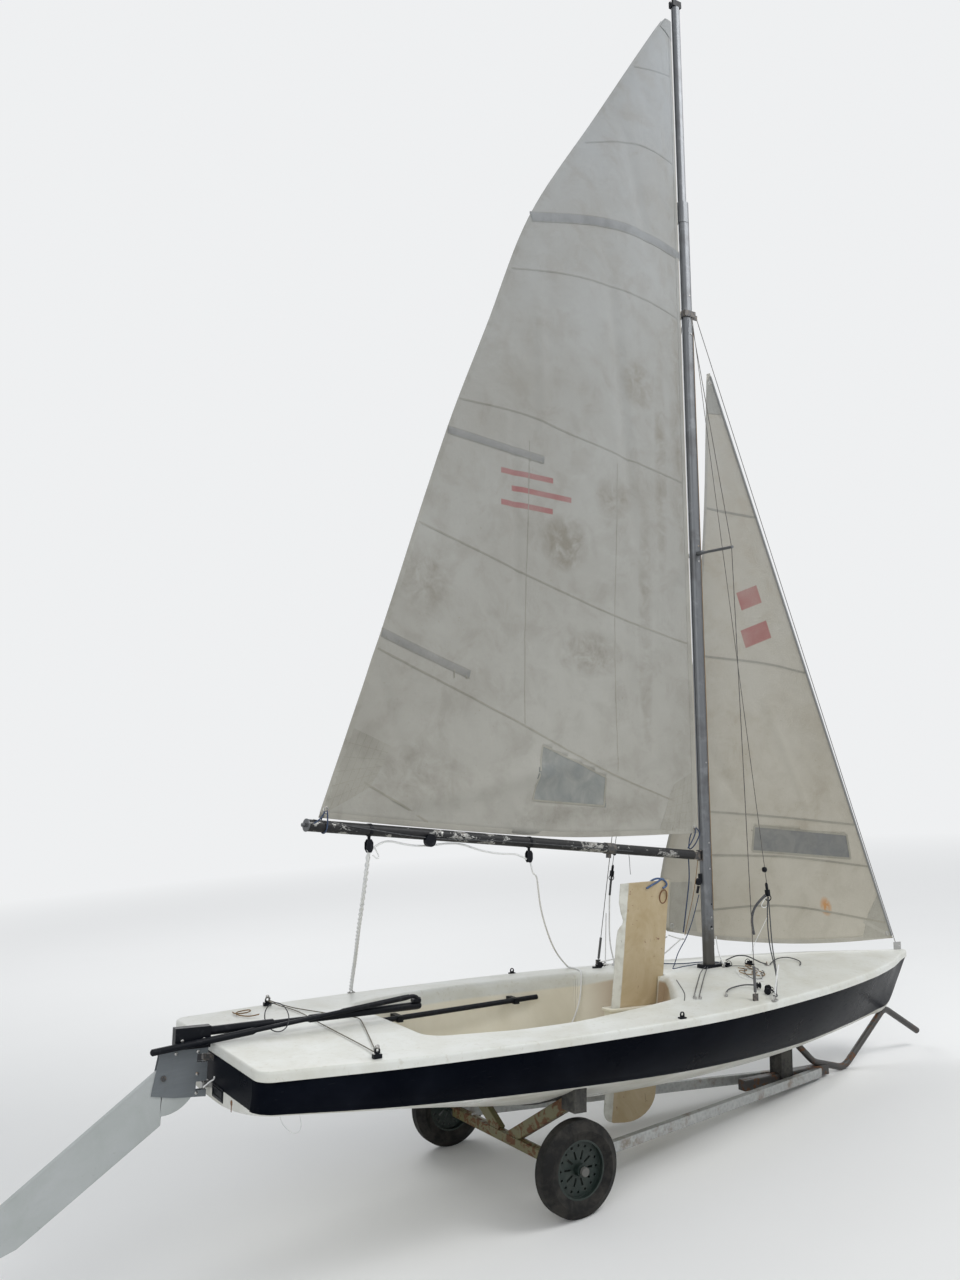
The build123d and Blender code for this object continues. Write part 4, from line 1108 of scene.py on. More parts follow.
def onSail(sail, s, t, lift=0.0):
    return Vector((-s, sailDepth(sail, s, t) + lift, t))


def footHeight(sail, s):
    return smoothRow(sail["foot"], s)[0]


def setCloth(made, place):
    # keeps each point's distances along the sail for the material
    back = place.inverted()
    flat = [back @ v.co for v in made.data.vertices]
    setVectors(made, "cloth", [(-p.x, p.z, 0) for p in flat])


def cutWindow(mesh, corners):
    # takes a window's cloth out along its straight edges
    middle = sum((Vector(c) for c in corners), Vector((0, 0))) / len(corners)
    reach = max((Vector(c) - middle).length for c in corners) + 0.06

    def placeOf(face):
        centre = face.calc_center_median()
        return Vector((-centre.x, centre.z))

    for (s, t), (s2, t2) in pairs(corners):
        near = [face for face in mesh.faces if (placeOf(face) - middle).length < reach]
        bisect(mesh, near, (-s, 0, t), (t2 - t, 0, s2 - s))
    inside = []
    for face in mesh.faces:
        at = placeOf(face)
        if (at - middle).length < reach:
            turns = [(s2 - s) * (at.y - t) - (t2 - t) * (at.x - s)
                     for (s, t), (s2, t2) in pairs(corners)]
            if all(turn > 0 for turn in turns) or all(turn < 0 for turn in turns):
                inside.append(face)
    bmesh.ops.delete(mesh, geom=inside, context="FACES")


def buildCloth(sail, windows):
    rows, columns = sail["rows"], sail["columns"]
    points = []
    for j in range(rows + 1):
        v = (j / rows) ** 0.92
        luffT = sail["tack"] + (sail["head"] - sail["tack"]) * v
        leechT = sail["clew"] + (sail["head"] - sail["clew"]) * v
        leech = smoothRow(sail["table"], leechT)[1]
        for i in range(columns + 1):
            u = i / columns
            s = sail["luff"] + (leech - sail["luff"]) * u
            low = sail["tack"] + (sail["clew"] - sail["tack"]) * u
            footS = sail["luff"] + (sail["foot"][-1][0] - sail["luff"]) * u
            t = luffT + (leechT - luffT) * u + (footHeight(sail, footS) - low) * (1 - v) ** 3
            points.append(onSail(sail, s, t))
    wide = columns + 1
    faces = [(j * wide + i, j * wide + i + 1, (j + 1) * wide + i + 1, (j + 1) * wide + i)
             for j in range(rows) for i in range(columns)]
    made = meshObject(sail["name"] + "Cloth", points, faces)
    mesh = bmesh.new()
    mesh.from_mesh(made.data)
    for corners in windows:
        cutWindow(mesh, corners)
    bmesh.ops.remove_doubles(mesh, verts=mesh.verts, dist=0.00001)
    mesh.to_mesh(made.data)
    mesh.free()
    made.data.shade_smooth()
    setCloth(made, asIs)
    made.data.transform(sail["place"])
    thicken(made, sail["thick"])
    settle(made, "sailcloth", sail["body"], sail["look"])
    print(made.name, len(made.data.polygons), "faces")
    return made


def band(piece, sail, line, width, thick, crown=0.0, step=0.03, across=2):
    # a strip sewn along a line of the sail, standing a little proud on both faces
    path = []
    for (s, t), (s2, t2) in zip(line, line[1:]):
        count = max(2, int(math.hypot(s2 - s, t2 - t) / step))
        path += [Vector((s + (s2 - s) * k / count, t + (t2 - t) * k / count)) for k in range(count)]
    path.append(Vector(line[-1]))
    rows = []
    for i, at in enumerate(path):
        along = (path[min(i + 1, len(path) - 1)] - path[max(i - 1, 0)]).normalized()
        side = Vector((-along.y, along.x))
        ring = []
        for hand, shares in ((1, range(across + 1)), (-1, range(across, -1, -1))):
            for k in shares:
                off = (k / across - 0.5) * width
                lift = thick / 2 + crown * (1 - (2 * k / across - 1) ** 2)
                ring.append(onSail(sail, *(at + side * off), hand * lift))
        rows.append(ring)
    piece.grid(rows, closedAcross=True).cap(rows[0], flip=True).cap(rows[-1])


def curved(points, steps=10):
    return [(p.x, p.y) for p in smoothPath([(*p, 0) for p in points], steps)]


# Seams between the cloths, tapes along the edges, batten pockets and patches, all as lines of s, t
mainTrim = {
    "seams": [[(0.359, 5.146), (0.18, 5.185), (0.022, 5.224)],
              [(0.777, 4.502), (0.404, 4.618), (0.012, 4.652)],
              [(1.322, 3.599), (0.89, 3.666), (0.45, 3.69), (0.012, 3.680)],
              [(1.662, 2.831), (1.25, 2.83), (0.905, 2.785), (0.012, 2.690)],
              [(1.898, 2.188), (1.133, 1.991), (0.60, 1.87), (0.164, 1.785), (0.012, 1.760)],
              [(2.119, 1.583), (1.466, 1.350), (1.162, 1.234), (0.701, 1.051), (0.189, 0.891)],
              [(2.185, 1.000), (2.00, 0.905), (1.842, 0.822)]],
    "window": [(1.136, 1.176), (0.709, 1.020), (0.728, 0.873), (1.213, 0.910)],
    "pockets": [(3.929, 1.186, 0.004, 4.085, 0.058), (2.661, 1.735, 1.134, 2.617, 0.042),
                (1.656, 2.104, 1.598, 1.499, 0.042)],
    "clewPatch": [(2.239, 1.229), (2.043, 1.156), (2.150, 0.980), (2.400, 0.862)],
    "tackPatch": [(0.012, 1.06), (0.19, 0.98), (0.32, 0.735), (0.012, 0.722)],
    "headPatch": [(0.012, 5.600), (0.058, 5.600), (0.112, 5.525), (0.012, 5.47)],
    "eyelets": [(2.372, 0.885), (0.030, 0.745), (0.034, 5.560)]}


def between(corners, u, v):
    # a point between four corners, from its shares across and up
    a, b, c, d = [Vector(p) for p in corners]
    return (a + (b - a) * u) * (1 - v) + (d + (c - d) * u) * v


def patch(piece, sail, corners, thick=0.0030, count=14):
    # a reinforcing patch of four corners, both faces and its edge
    shares = evenly(0, 1, count)
    front, back = ([[onSail(sail, *between(corners, u, v), lift) for u in shares] for v in shares]
                   for lift in (thick / 2, -thick / 2))
    piece.grid(front).grid(back)
    for near, far in ((front[0], back[0]), (front[-1], back[-1]),
                      ([r[0] for r in front], [r[0] for r in back]),
                      ([r[-1] for r in front], [r[-1] for r in back])):
        piece.grid([near, far])


def stitchGrid(piece, sail, corners, lines, width=0.0022, thick=0.0036):
    # rows of zigzag stitching both ways over a patch
    a, b, c, d = [Vector(p) for p in corners]
    for k in range(1, lines):
        share = k / lines
        for ends in ((a + (b - a) * share, d + (c - d) * share), (a + (d - a) * share, b + (c - b) * share)):
            band(piece, sail, [tuple(p) for p in ends], width, thick)


# The window film's margin round the hole in the cloth, its facets each way, its creases and its thickness
film = {"margin": 1.05, "count": 36, "crease": 0.0035, "thick": 0.0006}


def filmPane(sail, corners, name, look="window"):
    # the clear film of a window, slack and creased
    middle = sum((Vector(p) for p in corners), Vector((0, 0))) / 4
    wider = [middle + (Vector(p) - middle) * film["margin"] for p in corners]
    rows = []
    for v in evenly(0, 1, film["count"]):
        row = []
        for u in evenly(0, 1, film["count"]):
            at = between(wider, u, v)
            slack = 16 * u * (1 - u) * v * (1 - v)
            creased = noise.noise(Vector((at.x * 14, at.y * 14, 5.5))) * film["crease"]
            row.append(onSail(sail, at.x, at.y, creased * slack))
        rows.append(row)
    made = Piece(name, sail["place"]).grid(rows).done("sailcloth", sail["body"], look, angle=180)
    return thicken(made, film["thick"])


def eyelet(piece, sail, s, t, radius=0.012):
    # a pressed brass ring through the cloth
    piece.ring(onSail(sail, s, t), (0, 1, 0), radius, 0.0035, 10, 24)


def sewn(piece, sail, look):
    made = piece.done("sailcloth", sail["body"], look, angle=50)
    setCloth(made, sail["place"])
    return made


def buildMainsail():
    sail, trim = mainsail, mainTrim
    place = sail["place"]
    made = buildCloth(sail, [trim["window"]])
    seams = Piece("mainSeams", place)
    for line in trim["seams"]:
        band(seams, sail, curved(line), 0.009, 0.0036)
    for s, t in ((0.62, 1.05), (1.25, 1.27)):   # the sewn joins that run up a cloth
        band(seams, sail, [(s, t), (s - 0.02, 2.7)], 0.005, 0.0022)
    window = trim["window"]
    for one, two in pairs(window):
        band(seams, sail, [one, two], 0.009, 0.0032)
    pieces = [sewn(seams, sail, "seam")]
    tapes = Piece("mainTapes", place)
    leech = [(smoothRow(sail["table"], t)[1] - 0.012, t) for t in evenly(0.87, 5.56, 60)]
    band(tapes, sail, leech, 0.024, 0.0030)
    band(tapes, sail, [(0.026, 0.72), (0.026, 5.58)], 0.034, 0.0036, 0.0015, 0.05, 4)
    foot = [(s, footHeight(sail, s) + 0.013) for s in evenly(0.02, 2.38, 40)]
    band(tapes, sail, foot, 0.026, 0.0030)
    pieces.append(sewn(tapes, sail, "tape"))
    rope("boltRope", [onSail(sail, 0.0135, t) for t in evenly(0.73, 5.58, 12)], 0.0040, "tape", "boom",
         "sailcloth", place)
    pockets = Piece("battenPockets", place)
    hems = Piece("pocketStitching", place)
    for aftT, aftS, forwardS, forwardT, width in trim["pockets"]:
        rise = 0.048 if width > 0.05 else 0   # the long batten bows up
        line = curved([(aftS - 0.006, aftT), ((aftS + forwardS) / 2, (aftT + forwardT) / 2 + rise),
                       (forwardS, forwardT)])
        band(pockets, sail, line, width, 0.0030, 0.0030, 0.03, 8)
        for side in (-1, 1):
            band(hems, sail, [(s, t + side * (width / 2 - 0.003)) for s, t in line], 0.0045, 0.0048)
        endS, endT = line[-1]
        if forwardS > 0.5:
            for back, wide, thick in ((0.02, 0.006, 0.0075), (0.09, 0.005, 0.0085)):
                bar = [(endS + back, endT - width / 2), (endS + back, endT + width / 2)]
                band(hems, sail, bar, wide, thick)
    pieces += [sewn(pockets, sail, "pocket"), sewn(hems, sail, "seam")]
    patches = Piece("cornerPatches", place)
    stitching = Piece("patchStitching", place)
    for corners in (trim["clewPatch"], trim["tackPatch"]):
        patch(patches, sail, corners)
        stitchGrid(stitching, sail, corners, 6)
    patch(patches, sail, trim["headPatch"], 0.010, 4)
    pieces.append(sewn(patches, sail, "patch"))
    pieces.append(sewn(stitching, sail, "seam"))
    pieces.append(filmPane(sail, window, "mainWindow"))
    rings = Piece("mainEyelets", place)
    for s, t in trim["eyelets"]:
        eyelet(rings, sail, s, t)
    pieces.append(rings.done("stainless", "boom"))
    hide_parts("mainsail")


jibTrim = {
    "seams": [[(0.318, 2.890), (0.012, 2.741)], [(0.645, 2.080), (0.262, 1.901), (0.012, 1.748)],
              [(0.944, 1.229), (0.5, 1.01), (0.012, 0.758)], [(1.030, 0.993), (0.5, 0.75), (0.012, 0.482)],
              [(1.233, 0.736), (0.638, 0.497), (0.02, 0.113)]],
    "window": [(0.662, 1.017), (0.082, 0.720), (0.109, 0.574), (0.729, 0.887)],
    "cornerPatches": [[(0.004, 0.300), (0.110, 0.210), (0.210, 0.095), (0.010, 0.012)],
                      [(1.330, 0.960), (1.190, 0.900), (1.270, 0.630), (1.440, 0.725)]],
    "headPatch": [(0.004, 3.620), (0.030, 3.600), (0.110, 3.420), (0.004, 3.380)],
    "eyelets": [(0.030, 0.045), (1.415, 0.735), (0.022, 3.585)]}


def buildJib():
    sail, trim = jibSail, jibTrim
    place = sail["place"]
    window = trim["window"]
    made = buildCloth(sail, [window])
    seams = Piece("jibSeams", place)
    for line in trim["seams"]:
        band(seams, sail, curved(line) if len(line) > 2 else line, 0.012, 0.0040)
    for one, two in pairs(window):
        band(seams, sail, [one, two], 0.012, 0.0034)
    pieces = [sewn(seams, sail, "seam")]
    tapes = Piece("jibTapes", place)
    leech = [(smoothRow(sail["table"], t)[1] - 0.010, t) for t in evenly(0.74, 3.60, 40)]
    band(tapes, sail, leech, 0.018, 0.0028)
    foot = [(s, footHeight(sail, s) + 0.013) for s in evenly(0.03, 1.42, 30)]
    band(tapes, sail, foot, 0.022, 0.0028)
    for s, t, lean in ((0.030, 0.040, 0.13), (1.330, 0.700, -0.12)):
        band(tapes, sail, [(s, t), (s + lean, t + abs(lean) * 1.1)], 0.020, 0.0034)
    pieces.append(sewn(tapes, sail, "tape"))
    patches = Piece("jibPatches", place)
    for corners in trim["cornerPatches"]:
        patch(patches, sail, corners)
    patch(patches, sail, trim["headPatch"], 0.004, 6)
    pieces.append(sewn(patches, sail, "patch"))
    rope("jibLuffTape", [onSail(sail, 0.004, t) for t in evenly(0.02, 3.62, 10)], 0.0065, "luffBlue", "boat",
         "sailcloth", place)
    pieces.append(filmPane(sail, window, "jibWindow", "jibWindow"))
    rings = Piece("jibEyelets", place)
    for s, t in trim["eyelets"]:
        eyelet(rings, sail, s, t, 0.010)
    pieces.append(rings.done("stainless", "boat"))
    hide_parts("jib")


# Places for ropes and gear: boomAt gives a world point (s aft of the luff, y to port, drop under the boom's
# middle), and deckAt a level one over the deck
boomLine = {"height": 0.5933, "rise": 0.0945}


def boomAt(s, y, drop):
    return onBoom @ Vector((-s, y, boomLine["height"] + boomLine["rise"] * s - drop))


def deckAt(x, y, up):
    return Vector((x, y, deckHeight(x, y) + up))


def stretchRope(name, route, radius, look, strands=1, turns=0):
    # a rope from boom to boat through world points; strands twist round each other
    guide = rope(name + "Guide", route, radius, look, "boat", place=asIs)
    line = splineLine(guide)
    bpy.data.objects.remove(guide)
    piece = Piece(name, asIs)
    for strand in range(strands):
        path = []
        for i, at in enumerate(line):
            along = (line[min(i + 1, len(line) - 1)] - line[max(i - 1, 0)]).normalized()
            side = along.cross(Vector((0, 1, 0))).normalized()
            turn = 2 * math.pi * (turns * i / (len(line) - 1) + strand / strands)
            off = radius * 1.15 * (strands > 1)
            path.append(at + (side * math.cos(turn) + along.cross(side) * math.sin(turn)) * off)
        piece.tube(path, radius, 8)
    made = smoothed(meshObject(name, piece.points, piece.faces), 50)
    made.data.materials.append(finish[look].material)
    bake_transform(made)


# The mainsheet: the twisted falls from the boom to the port gunwale, a slack part between the blocks, a loop
# at the boom's end, and the tail that goes down into the cockpit
mainsheet = {
    "radius": 0.0045, "turns": 11, "fallsTop": (2.159, 0.0, 0.086), "fallsFoot": (0.938, 0.684, 0.790),
    "loop": [(2.128, 0.008, 0.070), (2.108, 0.020, 0.085), (2.092, 0.020, 0.110), (2.112, 0.010, 0.122),
             (2.136, 0.004, 0.104)],
    "between": [(2.150, 0.086), (2.118, 0.060), (2.060, 0.038), (1.979, 0.050), (1.900, 0.054),
                (1.820, 0.046), (1.735, 0.032), (1.655, 0.031), (1.558, 0.053), (1.470, 0.062),
                (1.394, 0.063), (1.320, 0.058), (1.264, 0.080)],
    "tail": [(1.530, -0.120, 1.400), (1.600, -0.030, 1.330), (1.740, 0.150, 1.210), (1.861, 0.270, 1.086),
             (1.996, 0.400, 0.975), (2.141, 0.530, 0.885), (2.268, 0.634, 0.821)],
    "inside": [(2.268, 0.634, 0.821), (2.256, 0.560, 0.827), (2.230, 0.500, 0.833), (2.205, 0.440, 0.836),
               (2.180, 0.392, 0.836), (2.160, 0.362, 0.806), (2.138, 0.342, 0.712), (2.108, 0.336, 0.640),
               (2.060, 0.325, 0.570), (1.990, 0.305, 0.533)],
    "coil": {"middle": (1.780, 0.240), "radius": 0.070, "turns": 6, "steps": 14}}


def buildMainsheet():
    sheet = mainsheet
    radius = sheet["radius"]
    top, low = boomAt(*sheet["fallsTop"]), level(*sheet["fallsFoot"])
    falls = [top] + [top.lerp(low, share) for share in (0.25, 0.6, 0.85)] + [low]
    stretchRope("sheetFalls", falls, 0.0055, "ropeWhite", strands=3, turns=sheet["turns"])
    freeRope("sheetBetween", [boomAt(s, 0.002, drop) for s, drop in sheet["between"]], radius, "ropeWhite",
             "boom", place=asIs)
    freeRope("sheetLoop", [boomAt(*p) for p in sheet["loop"]], 0.003, "ropeWhite", "boom",
             place=asIs)
    start = boomAt(1.242, 0.0, 0.088)
    tail = [start, start + Vector((0.006, 0, -0.06))] + [level(*p) for p in sheet["tail"]]
    stretchRope("sheetTail", tail, radius, "ropeWhite")
    coil = sheet["coil"]
    route = list(sheet["inside"])
    floor = cockpit["floor"] + radius + 0.002
    for k in range(coil["turns"] * coil["steps"]):
        a = 0.6 + 2 * math.pi * k / coil["steps"]
        lap = k // coil["steps"]
        grown = coil["radius"] + (lap % 3 - 1) * 2.1 * radius
        route.append((coil["middle"][0] + grown * math.cos(a), coil["middle"][1] + grown * math.sin(a),
                      floor + (k / coil["steps"] // 3) * 2.1 * radius))
    freeRope("sheetInside", route, radius, "ropeWhite", "boat")


# Ropes that lie on the deck (x, y, height over it) or hang (x, y, z level): look, radius, far end, route
deckRopes = {
    "travellerAft": ("ropeDull", 0.0023, "object", [
        (0.462, 0.588, 0.020), (0.490, 0.520, 0.006), (0.512, 0.430, 0.004), (0.515, 0.300, 0.004),
        (0.506, 0.180, 0.004), (0.498, 0.040, 0.004), (0.492, -0.120, 0.004), (0.488, -0.300, 0.004),
        (0.484, -0.460, 0.004), (0.472, -0.560, 0.008), (0.463, -0.590, 0.020)]),
    "travellerForward": ("ropeDull", 0.0023, "object", [
        (0.460, 0.586, 0.026), (0.512, 0.470, 0.006), (0.560, 0.350, 0.004), (0.612, 0.215, 0.004),
        (0.662, 0.100, 0.004), (0.684, 0.040, 0.004), (0.664, -0.030, 0.004), (0.612, -0.180, 0.004),
        (0.556, -0.340, 0.004), (0.500, -0.495, 0.005), (0.461, -0.588, 0.024)]),
    "cordCurl": ("ropeBrown", 0.0028, "bare", [
        (0.330, 0.350, 0.012), (0.300, 0.362, 0.004), (0.268, 0.392, 0.004), (0.254, 0.440, 0.004),
        (0.268, 0.492, 0.004), (0.304, 0.512, 0.004), (0.332, 0.488, 0.010), (0.326, 0.448, 0.012),
        (0.296, 0.424, 0.010), (0.262, 0.424, 0.010), (0.248, 0.462, 0.006), (0.258, 0.506, 0.004)]),
    "brownArc": ("ropeDark", 0.0030, "bare", [
        (3.060, -0.150, 0.004), (3.130, -0.100, 0.004), (3.210, -0.062, 0.010), (3.290, -0.062, 0.012),
        (3.310, -0.110, 0.005), (3.280, -0.175, 0.004), (3.215, -0.222, 0.004)]),
    "highBungee": ("ropeDark", 0.0034, "object", [
        (2.915, 0.040, 0.010), (2.935, 0.012, 0.028), (2.955, -0.012, 0.040), (2.985, -0.050, 0.040),
        (3.010, -0.080, 0.024), (3.035, -0.115, 0.006), (3.048, -0.132, 0.004)]),
    "lowBungee": ("ropeDark", 0.0034, "object", [
        (2.388, -0.505, 0.012), (2.420, -0.478, 0.012), (2.480, -0.442, 0.008), (2.545, -0.424, 0.006),
        (2.600, -0.430, 0.010), (2.626, -0.470, 0.014)]),
    "lowBungeeEnd": ("ropeDark", 0.0034, "object", [
        (2.640, -0.548, 0.014), (2.640, -0.585, 0.010), (2.615, -0.622, 0.008), (2.580, -0.645, 0.012),
        (2.562, -0.648, 0.020)]),
    "deckBlue": ("ropeBlue", 0.0030, "object", [
        (2.430, 0.440, 0.008), (2.560, 0.330, 0.004), (2.640, 0.240, 0.004), (2.672, 0.168, 0.004),
        (2.720, 0.140, 0.004), (2.790, 0.128, 0.004), (2.850, 0.090, 0.004), (2.875, 0.040, 0.004),
        (2.860, 0.020, 0.004)]),
    "tangleOne": ("ropeBrown", 0.0024, "bare", [
        (2.840, -0.129, 0.004), (2.865, -0.169, 0.004), (2.825, -0.209, 0.004), (2.779, -0.189, 0.010),
        (2.759, -0.242, 0.004), (2.799, -0.288, 0.004), (2.858, -0.261, 0.010), (2.898, -0.202, 0.004),
        (2.931, -0.156, 0.004), (2.917, -0.116, 0.010), (2.878, -0.143, 0.012), (2.858, -0.202, 0.012),
        (2.884, -0.255, 0.004), (2.865, -0.308, 0.004), (2.812, -0.327, 0.004), (2.785, -0.294, 0.010),
        (2.818, -0.248, 0.012), (2.871, -0.228, 0.012)]),
    "tangleTwo": ("ropeDark", 0.0020, "bare", [
        (2.845, -0.070, 0.004), (2.891, -0.129, 0.010), (2.931, -0.189, 0.004), (2.891, -0.228, 0.004),
        (2.838, -0.182, 0.012), (2.792, -0.222, 0.006), (2.752, -0.288, 0.004), (2.733, -0.341, 0.004),
        (2.772, -0.367, 0.004), (2.818, -0.334, 0.010), (2.845, -0.281, 0.010), (2.891, -0.281, 0.004),
        (2.911, -0.235, 0.004)]),
    "tangleThree": ("ropeWhite", 0.0018, "bare", [
        (2.785, -0.162, 0.010), (2.759, -0.215, 0.004), (2.719, -0.261, 0.004), (2.700, -0.321, 0.004),
        (2.719, -0.380, 0.012), (2.759, -0.400, 0.004), (2.785, -0.354, 0.010), (2.825, -0.294, 0.012),
        (2.865, -0.242, 0.016), (2.891, -0.176, 0.012)])}
hangingRopes = {
    "vangTail": ("ropeBlue", 0.0026, "object", [
        (2.690, 0.004, 1.262), (2.676, 0.006, 1.215), (2.645, 0.006, 1.130), (2.600, 0.006, 1.040),
        (2.560, 0.006, 0.992), (2.534, 0.008, 0.955), (2.520, 0.012, 0.910), (2.512, 0.020, 0.883),
        (2.522, 0.034, 0.876), (2.545, 0.030, 0.878), (2.590, 0.030, 0.884), (2.650, 0.036, 0.886),
        (2.690, 0.030, 0.890)]),
    "jibSheet": ("ropeWhite", 0.0040, "object", [
        (2.680, 0.255, 1.012), (2.640, 0.285, 0.980), (2.580, 0.330, 0.942), (2.500, 0.385, 0.905),
        (2.420, 0.430, 0.878), (2.360, 0.460, 0.866)]),
    "lazySheet": ("ropeWhite", 0.0034, "object", [
        (2.684, 0.250, 1.020), (2.700, 0.180, 1.006), (2.690, 0.120, 1.010), (2.660, 0.110, 1.020),
        (2.630, 0.130, 0.990), (2.590, 0.180, 0.930), (2.550, 0.240, 0.886), (2.490, 0.310, 0.868),
        (2.430, 0.370, 0.860), (2.372, 0.436, 0.858)]),
    "mastLine": ("ropeWhite", 0.0026, "object", [
        (2.796, -0.012, 1.036), (2.798, -0.014, 1.000), (2.806, -0.020, 0.950), (2.818, -0.028, 0.910),
        (2.826, -0.036, 0.892), (2.822, -0.050, 0.888)]),
    "pinTie": ("ropeWhite", 0.0030, "bare", [
        (-0.030, -0.012, 0.584), (-0.022, -0.030, 0.598), (-0.010, -0.040, 0.612), (0.000, -0.056, 0.620),
        (-0.006, -0.072, 0.634)]),
    "underLoop": ("ropeWhite", 0.0012, "object", [
        (0.190, -0.280, 0.532), (0.200, -0.285, 0.490), (0.225, -0.292, 0.456), (0.255, -0.300, 0.437),
        (0.280, -0.300, 0.446), (0.285, -0.296, 0.480), (0.270, -0.290, 0.526)]),
    # the starboard trapeze handle's thin cord and loop, and the cord at the foot of its elastics
    "handleCord": ("ropeWhite", 0.0016, "bare", [
        (2.694, -0.497, 1.200), (2.660, -0.478, 1.125), (2.625, -0.462, 1.055), (2.606, -0.460, 1.010)]),
    "handleLoop": ("ropeWhite", 0.0020, "object", [
        (2.680, -0.500, 1.290), (2.640, -0.496, 1.252), (2.665, -0.496, 1.236), (2.690, -0.500, 1.246),
        (2.694, -0.500, 1.285)]),
    "footCord": ("ropeWhite", 0.0040, "object", [
        (2.600, -0.648, 0.985), (2.582, -0.648, 0.930), (2.570, -0.650, 0.850)])}
tautCordsAndShadeLine = {
    "deckLineOne": ("ropeDark", 0.0022, [
        (2.700, -0.030, 0.010), (2.629, -0.068, 0.004), (2.400, -0.288, 0.004), (2.210, -0.470, 0.004)]),
    "deckLineTwo": ("ropeDark", 0.0022, [
        (2.700, -0.046, 0.010), (2.606, -0.126, 0.004), (2.400, -0.322, 0.004), (2.235, -0.480, 0.004)]),
    # a thin dark line of painted shade that follows the cockpit's nose, sunk into the deck
    "noseShadeLine": ("ropeDark", 0.0022, [
        (2.385, -0.150, -0.0018), (2.342, -0.215, -0.0018), (2.297, -0.285, -0.0018),
        (2.250, -0.355, -0.0018), (2.200, -0.420, -0.0018), (2.140, -0.480, -0.0018)])}


def buildDeckRopes():
    for name, (look, radius, farEnd, route) in deckRopes.items():
        freeRope(name, [deckAt(x, y, up + radius) for x, y, up in route], radius, look, "boat")
    for name, (look, radius, farEnd, route) in hangingRopes.items():
        freeRope(name, route, radius, look, "boat")
    for name, (look, radius, route) in tautCordsAndShadeLine.items():
        rope(name, [deckAt(x, y, up + radius) for x, y, up in route], radius, look, "boat")


# Trapeze gear, one set on each side: hand is -1 to starboard. Points are level and for starboard
trapeze = {
    "starboard": {
        "hand": -1, "ring": (2.690, 0.500, 1.312), "bead": 0.028,
        "handle": [(2.676, 0.498, 1.300), (2.645, 0.492, 1.275), (2.615, 0.486, 1.245), (2.596, 0.482, 1.205),
                   (2.594, 0.482, 1.150), (2.606, 0.484, 1.108)],
        "elastics": [[(2.690, 0.502, 1.292), (2.676, 0.506, 1.200), (2.672, 0.520, 1.060),
                      (2.668, 0.560, 0.950), (2.630, 0.610, 0.880), (2.575, 0.640, 0.850)],
                     [(2.698, 0.498, 1.290), (2.704, 0.500, 1.180), (2.708, 0.505, 1.050),
                      (2.712, 0.520, 0.960), (2.660, 0.580, 0.900), (2.585, 0.642, 0.850)]]},
    "port": {
        "hand": 1, "ring": (2.520, 0.550, 1.345), "bead": 0.022,
        "handle": [(2.520, 0.552, 1.330), (2.512, 0.552, 1.290), (2.508, 0.552, 1.245),
                   (2.504, 0.552, 1.220)],
        "elastics": [[(2.504, 0.552, 1.225), (2.500, 0.552, 1.100), (2.502, 0.552, 0.980),
                      (2.512, 0.550, 0.915), (2.530, 0.552, 0.860), (2.540, 0.556, 0.840)],
                     [(2.478, 0.552, 1.120), (2.474, 0.552, 0.980), (2.472, 0.552, 0.850)]]}}


def buildTrapeze():
    for side, gear in trapeze.items():
        hand = gear["hand"]
        ringX, ringY, ringZ = gear["ring"]
        top = onMast @ Vector((0.004, hand * 0.040, 3.700))
        foot = level(ringX, hand * ringY, ringZ + 0.018)
        wire = [top, top.lerp(foot, 0.33), top.lerp(foot, 0.67), foot]
        rope("trapezeWire_" + side, wire, 0.0017, "wire", "boat", "stainless", asIs)
        fittings = Piece("trapezeFittings_" + side)
        at = Vector((ringX, hand * ringY, ringZ))
        up = (tipped.inverted() @ top - at).normalized()
        ball = gear["bead"] / 2
        fittings.lathe([(0.004, -ball), (ball * 0.8, -ball * 0.7), (ball, 0), (ball * 0.8, ball * 0.7),
                        (0.004, ball)], at + up * 0.115, up, 16)
        sleeve = [(0.0055, 0), (0.0075, 0.008), (0.0075, 0.030), (0.004, 0.040)]
        fittings.lathe(sleeve, at + up * 0.010, up, 12)
        fittings.box(at - up * 0.002, (0.016, 0.022, 0.034), up=up)
        fittings.ring(at - up * 0.026, (0.5, 0.85, 0), 0.014, 0.0028, 8, 20)
        fittings.done("fitting_black", "boat", bevel=0.001)
        handle = [(x, hand * y, z) for x, y, z in gear["handle"]]
        freeRope("trapezeHandle_" + side, handle, 0.0066, "ropeDark", "boat")
        look, radius = ("ropeDark", 0.0030) if hand < 0 else ("ropeWhite", 0.0044)
        for i, line in enumerate(gear["elastics"]):
            freeRope("trapezeElastic_%s_%d" % (side, i), [(x, hand * y, z) for x, y, z in line],
                     0.0030 if i else radius, look, "boat")


def eyeFoot(piece, x, y, turn):
    # a deck eye: a plate with two screw heads and an upright loop
    foot = deckAt(x, y, 0)
    along = Vector((math.cos(turn), math.sin(turn), 0))
    piece.box(foot + Vector((0, 0, 0.002)), (0.040, 0.015, 0.004), along)
    for hand in (-1, 1):
        piece.lathe([(0.0045, 0), (0.0045, 0.0022), (0.0030, 0.0034)],
                    foot + Vector((0, 0, 0.004)) + along * 0.0145 * hand, (0, 0, 1), 10)
    path = [foot + along * (0.008 * math.cos(a)) + Vector((0, 0, 0.004 + 0.014 * math.sin(a)))
            for a in evenly(0, math.pi, 8)]
    piece.tube(path, 0.0026, 8)


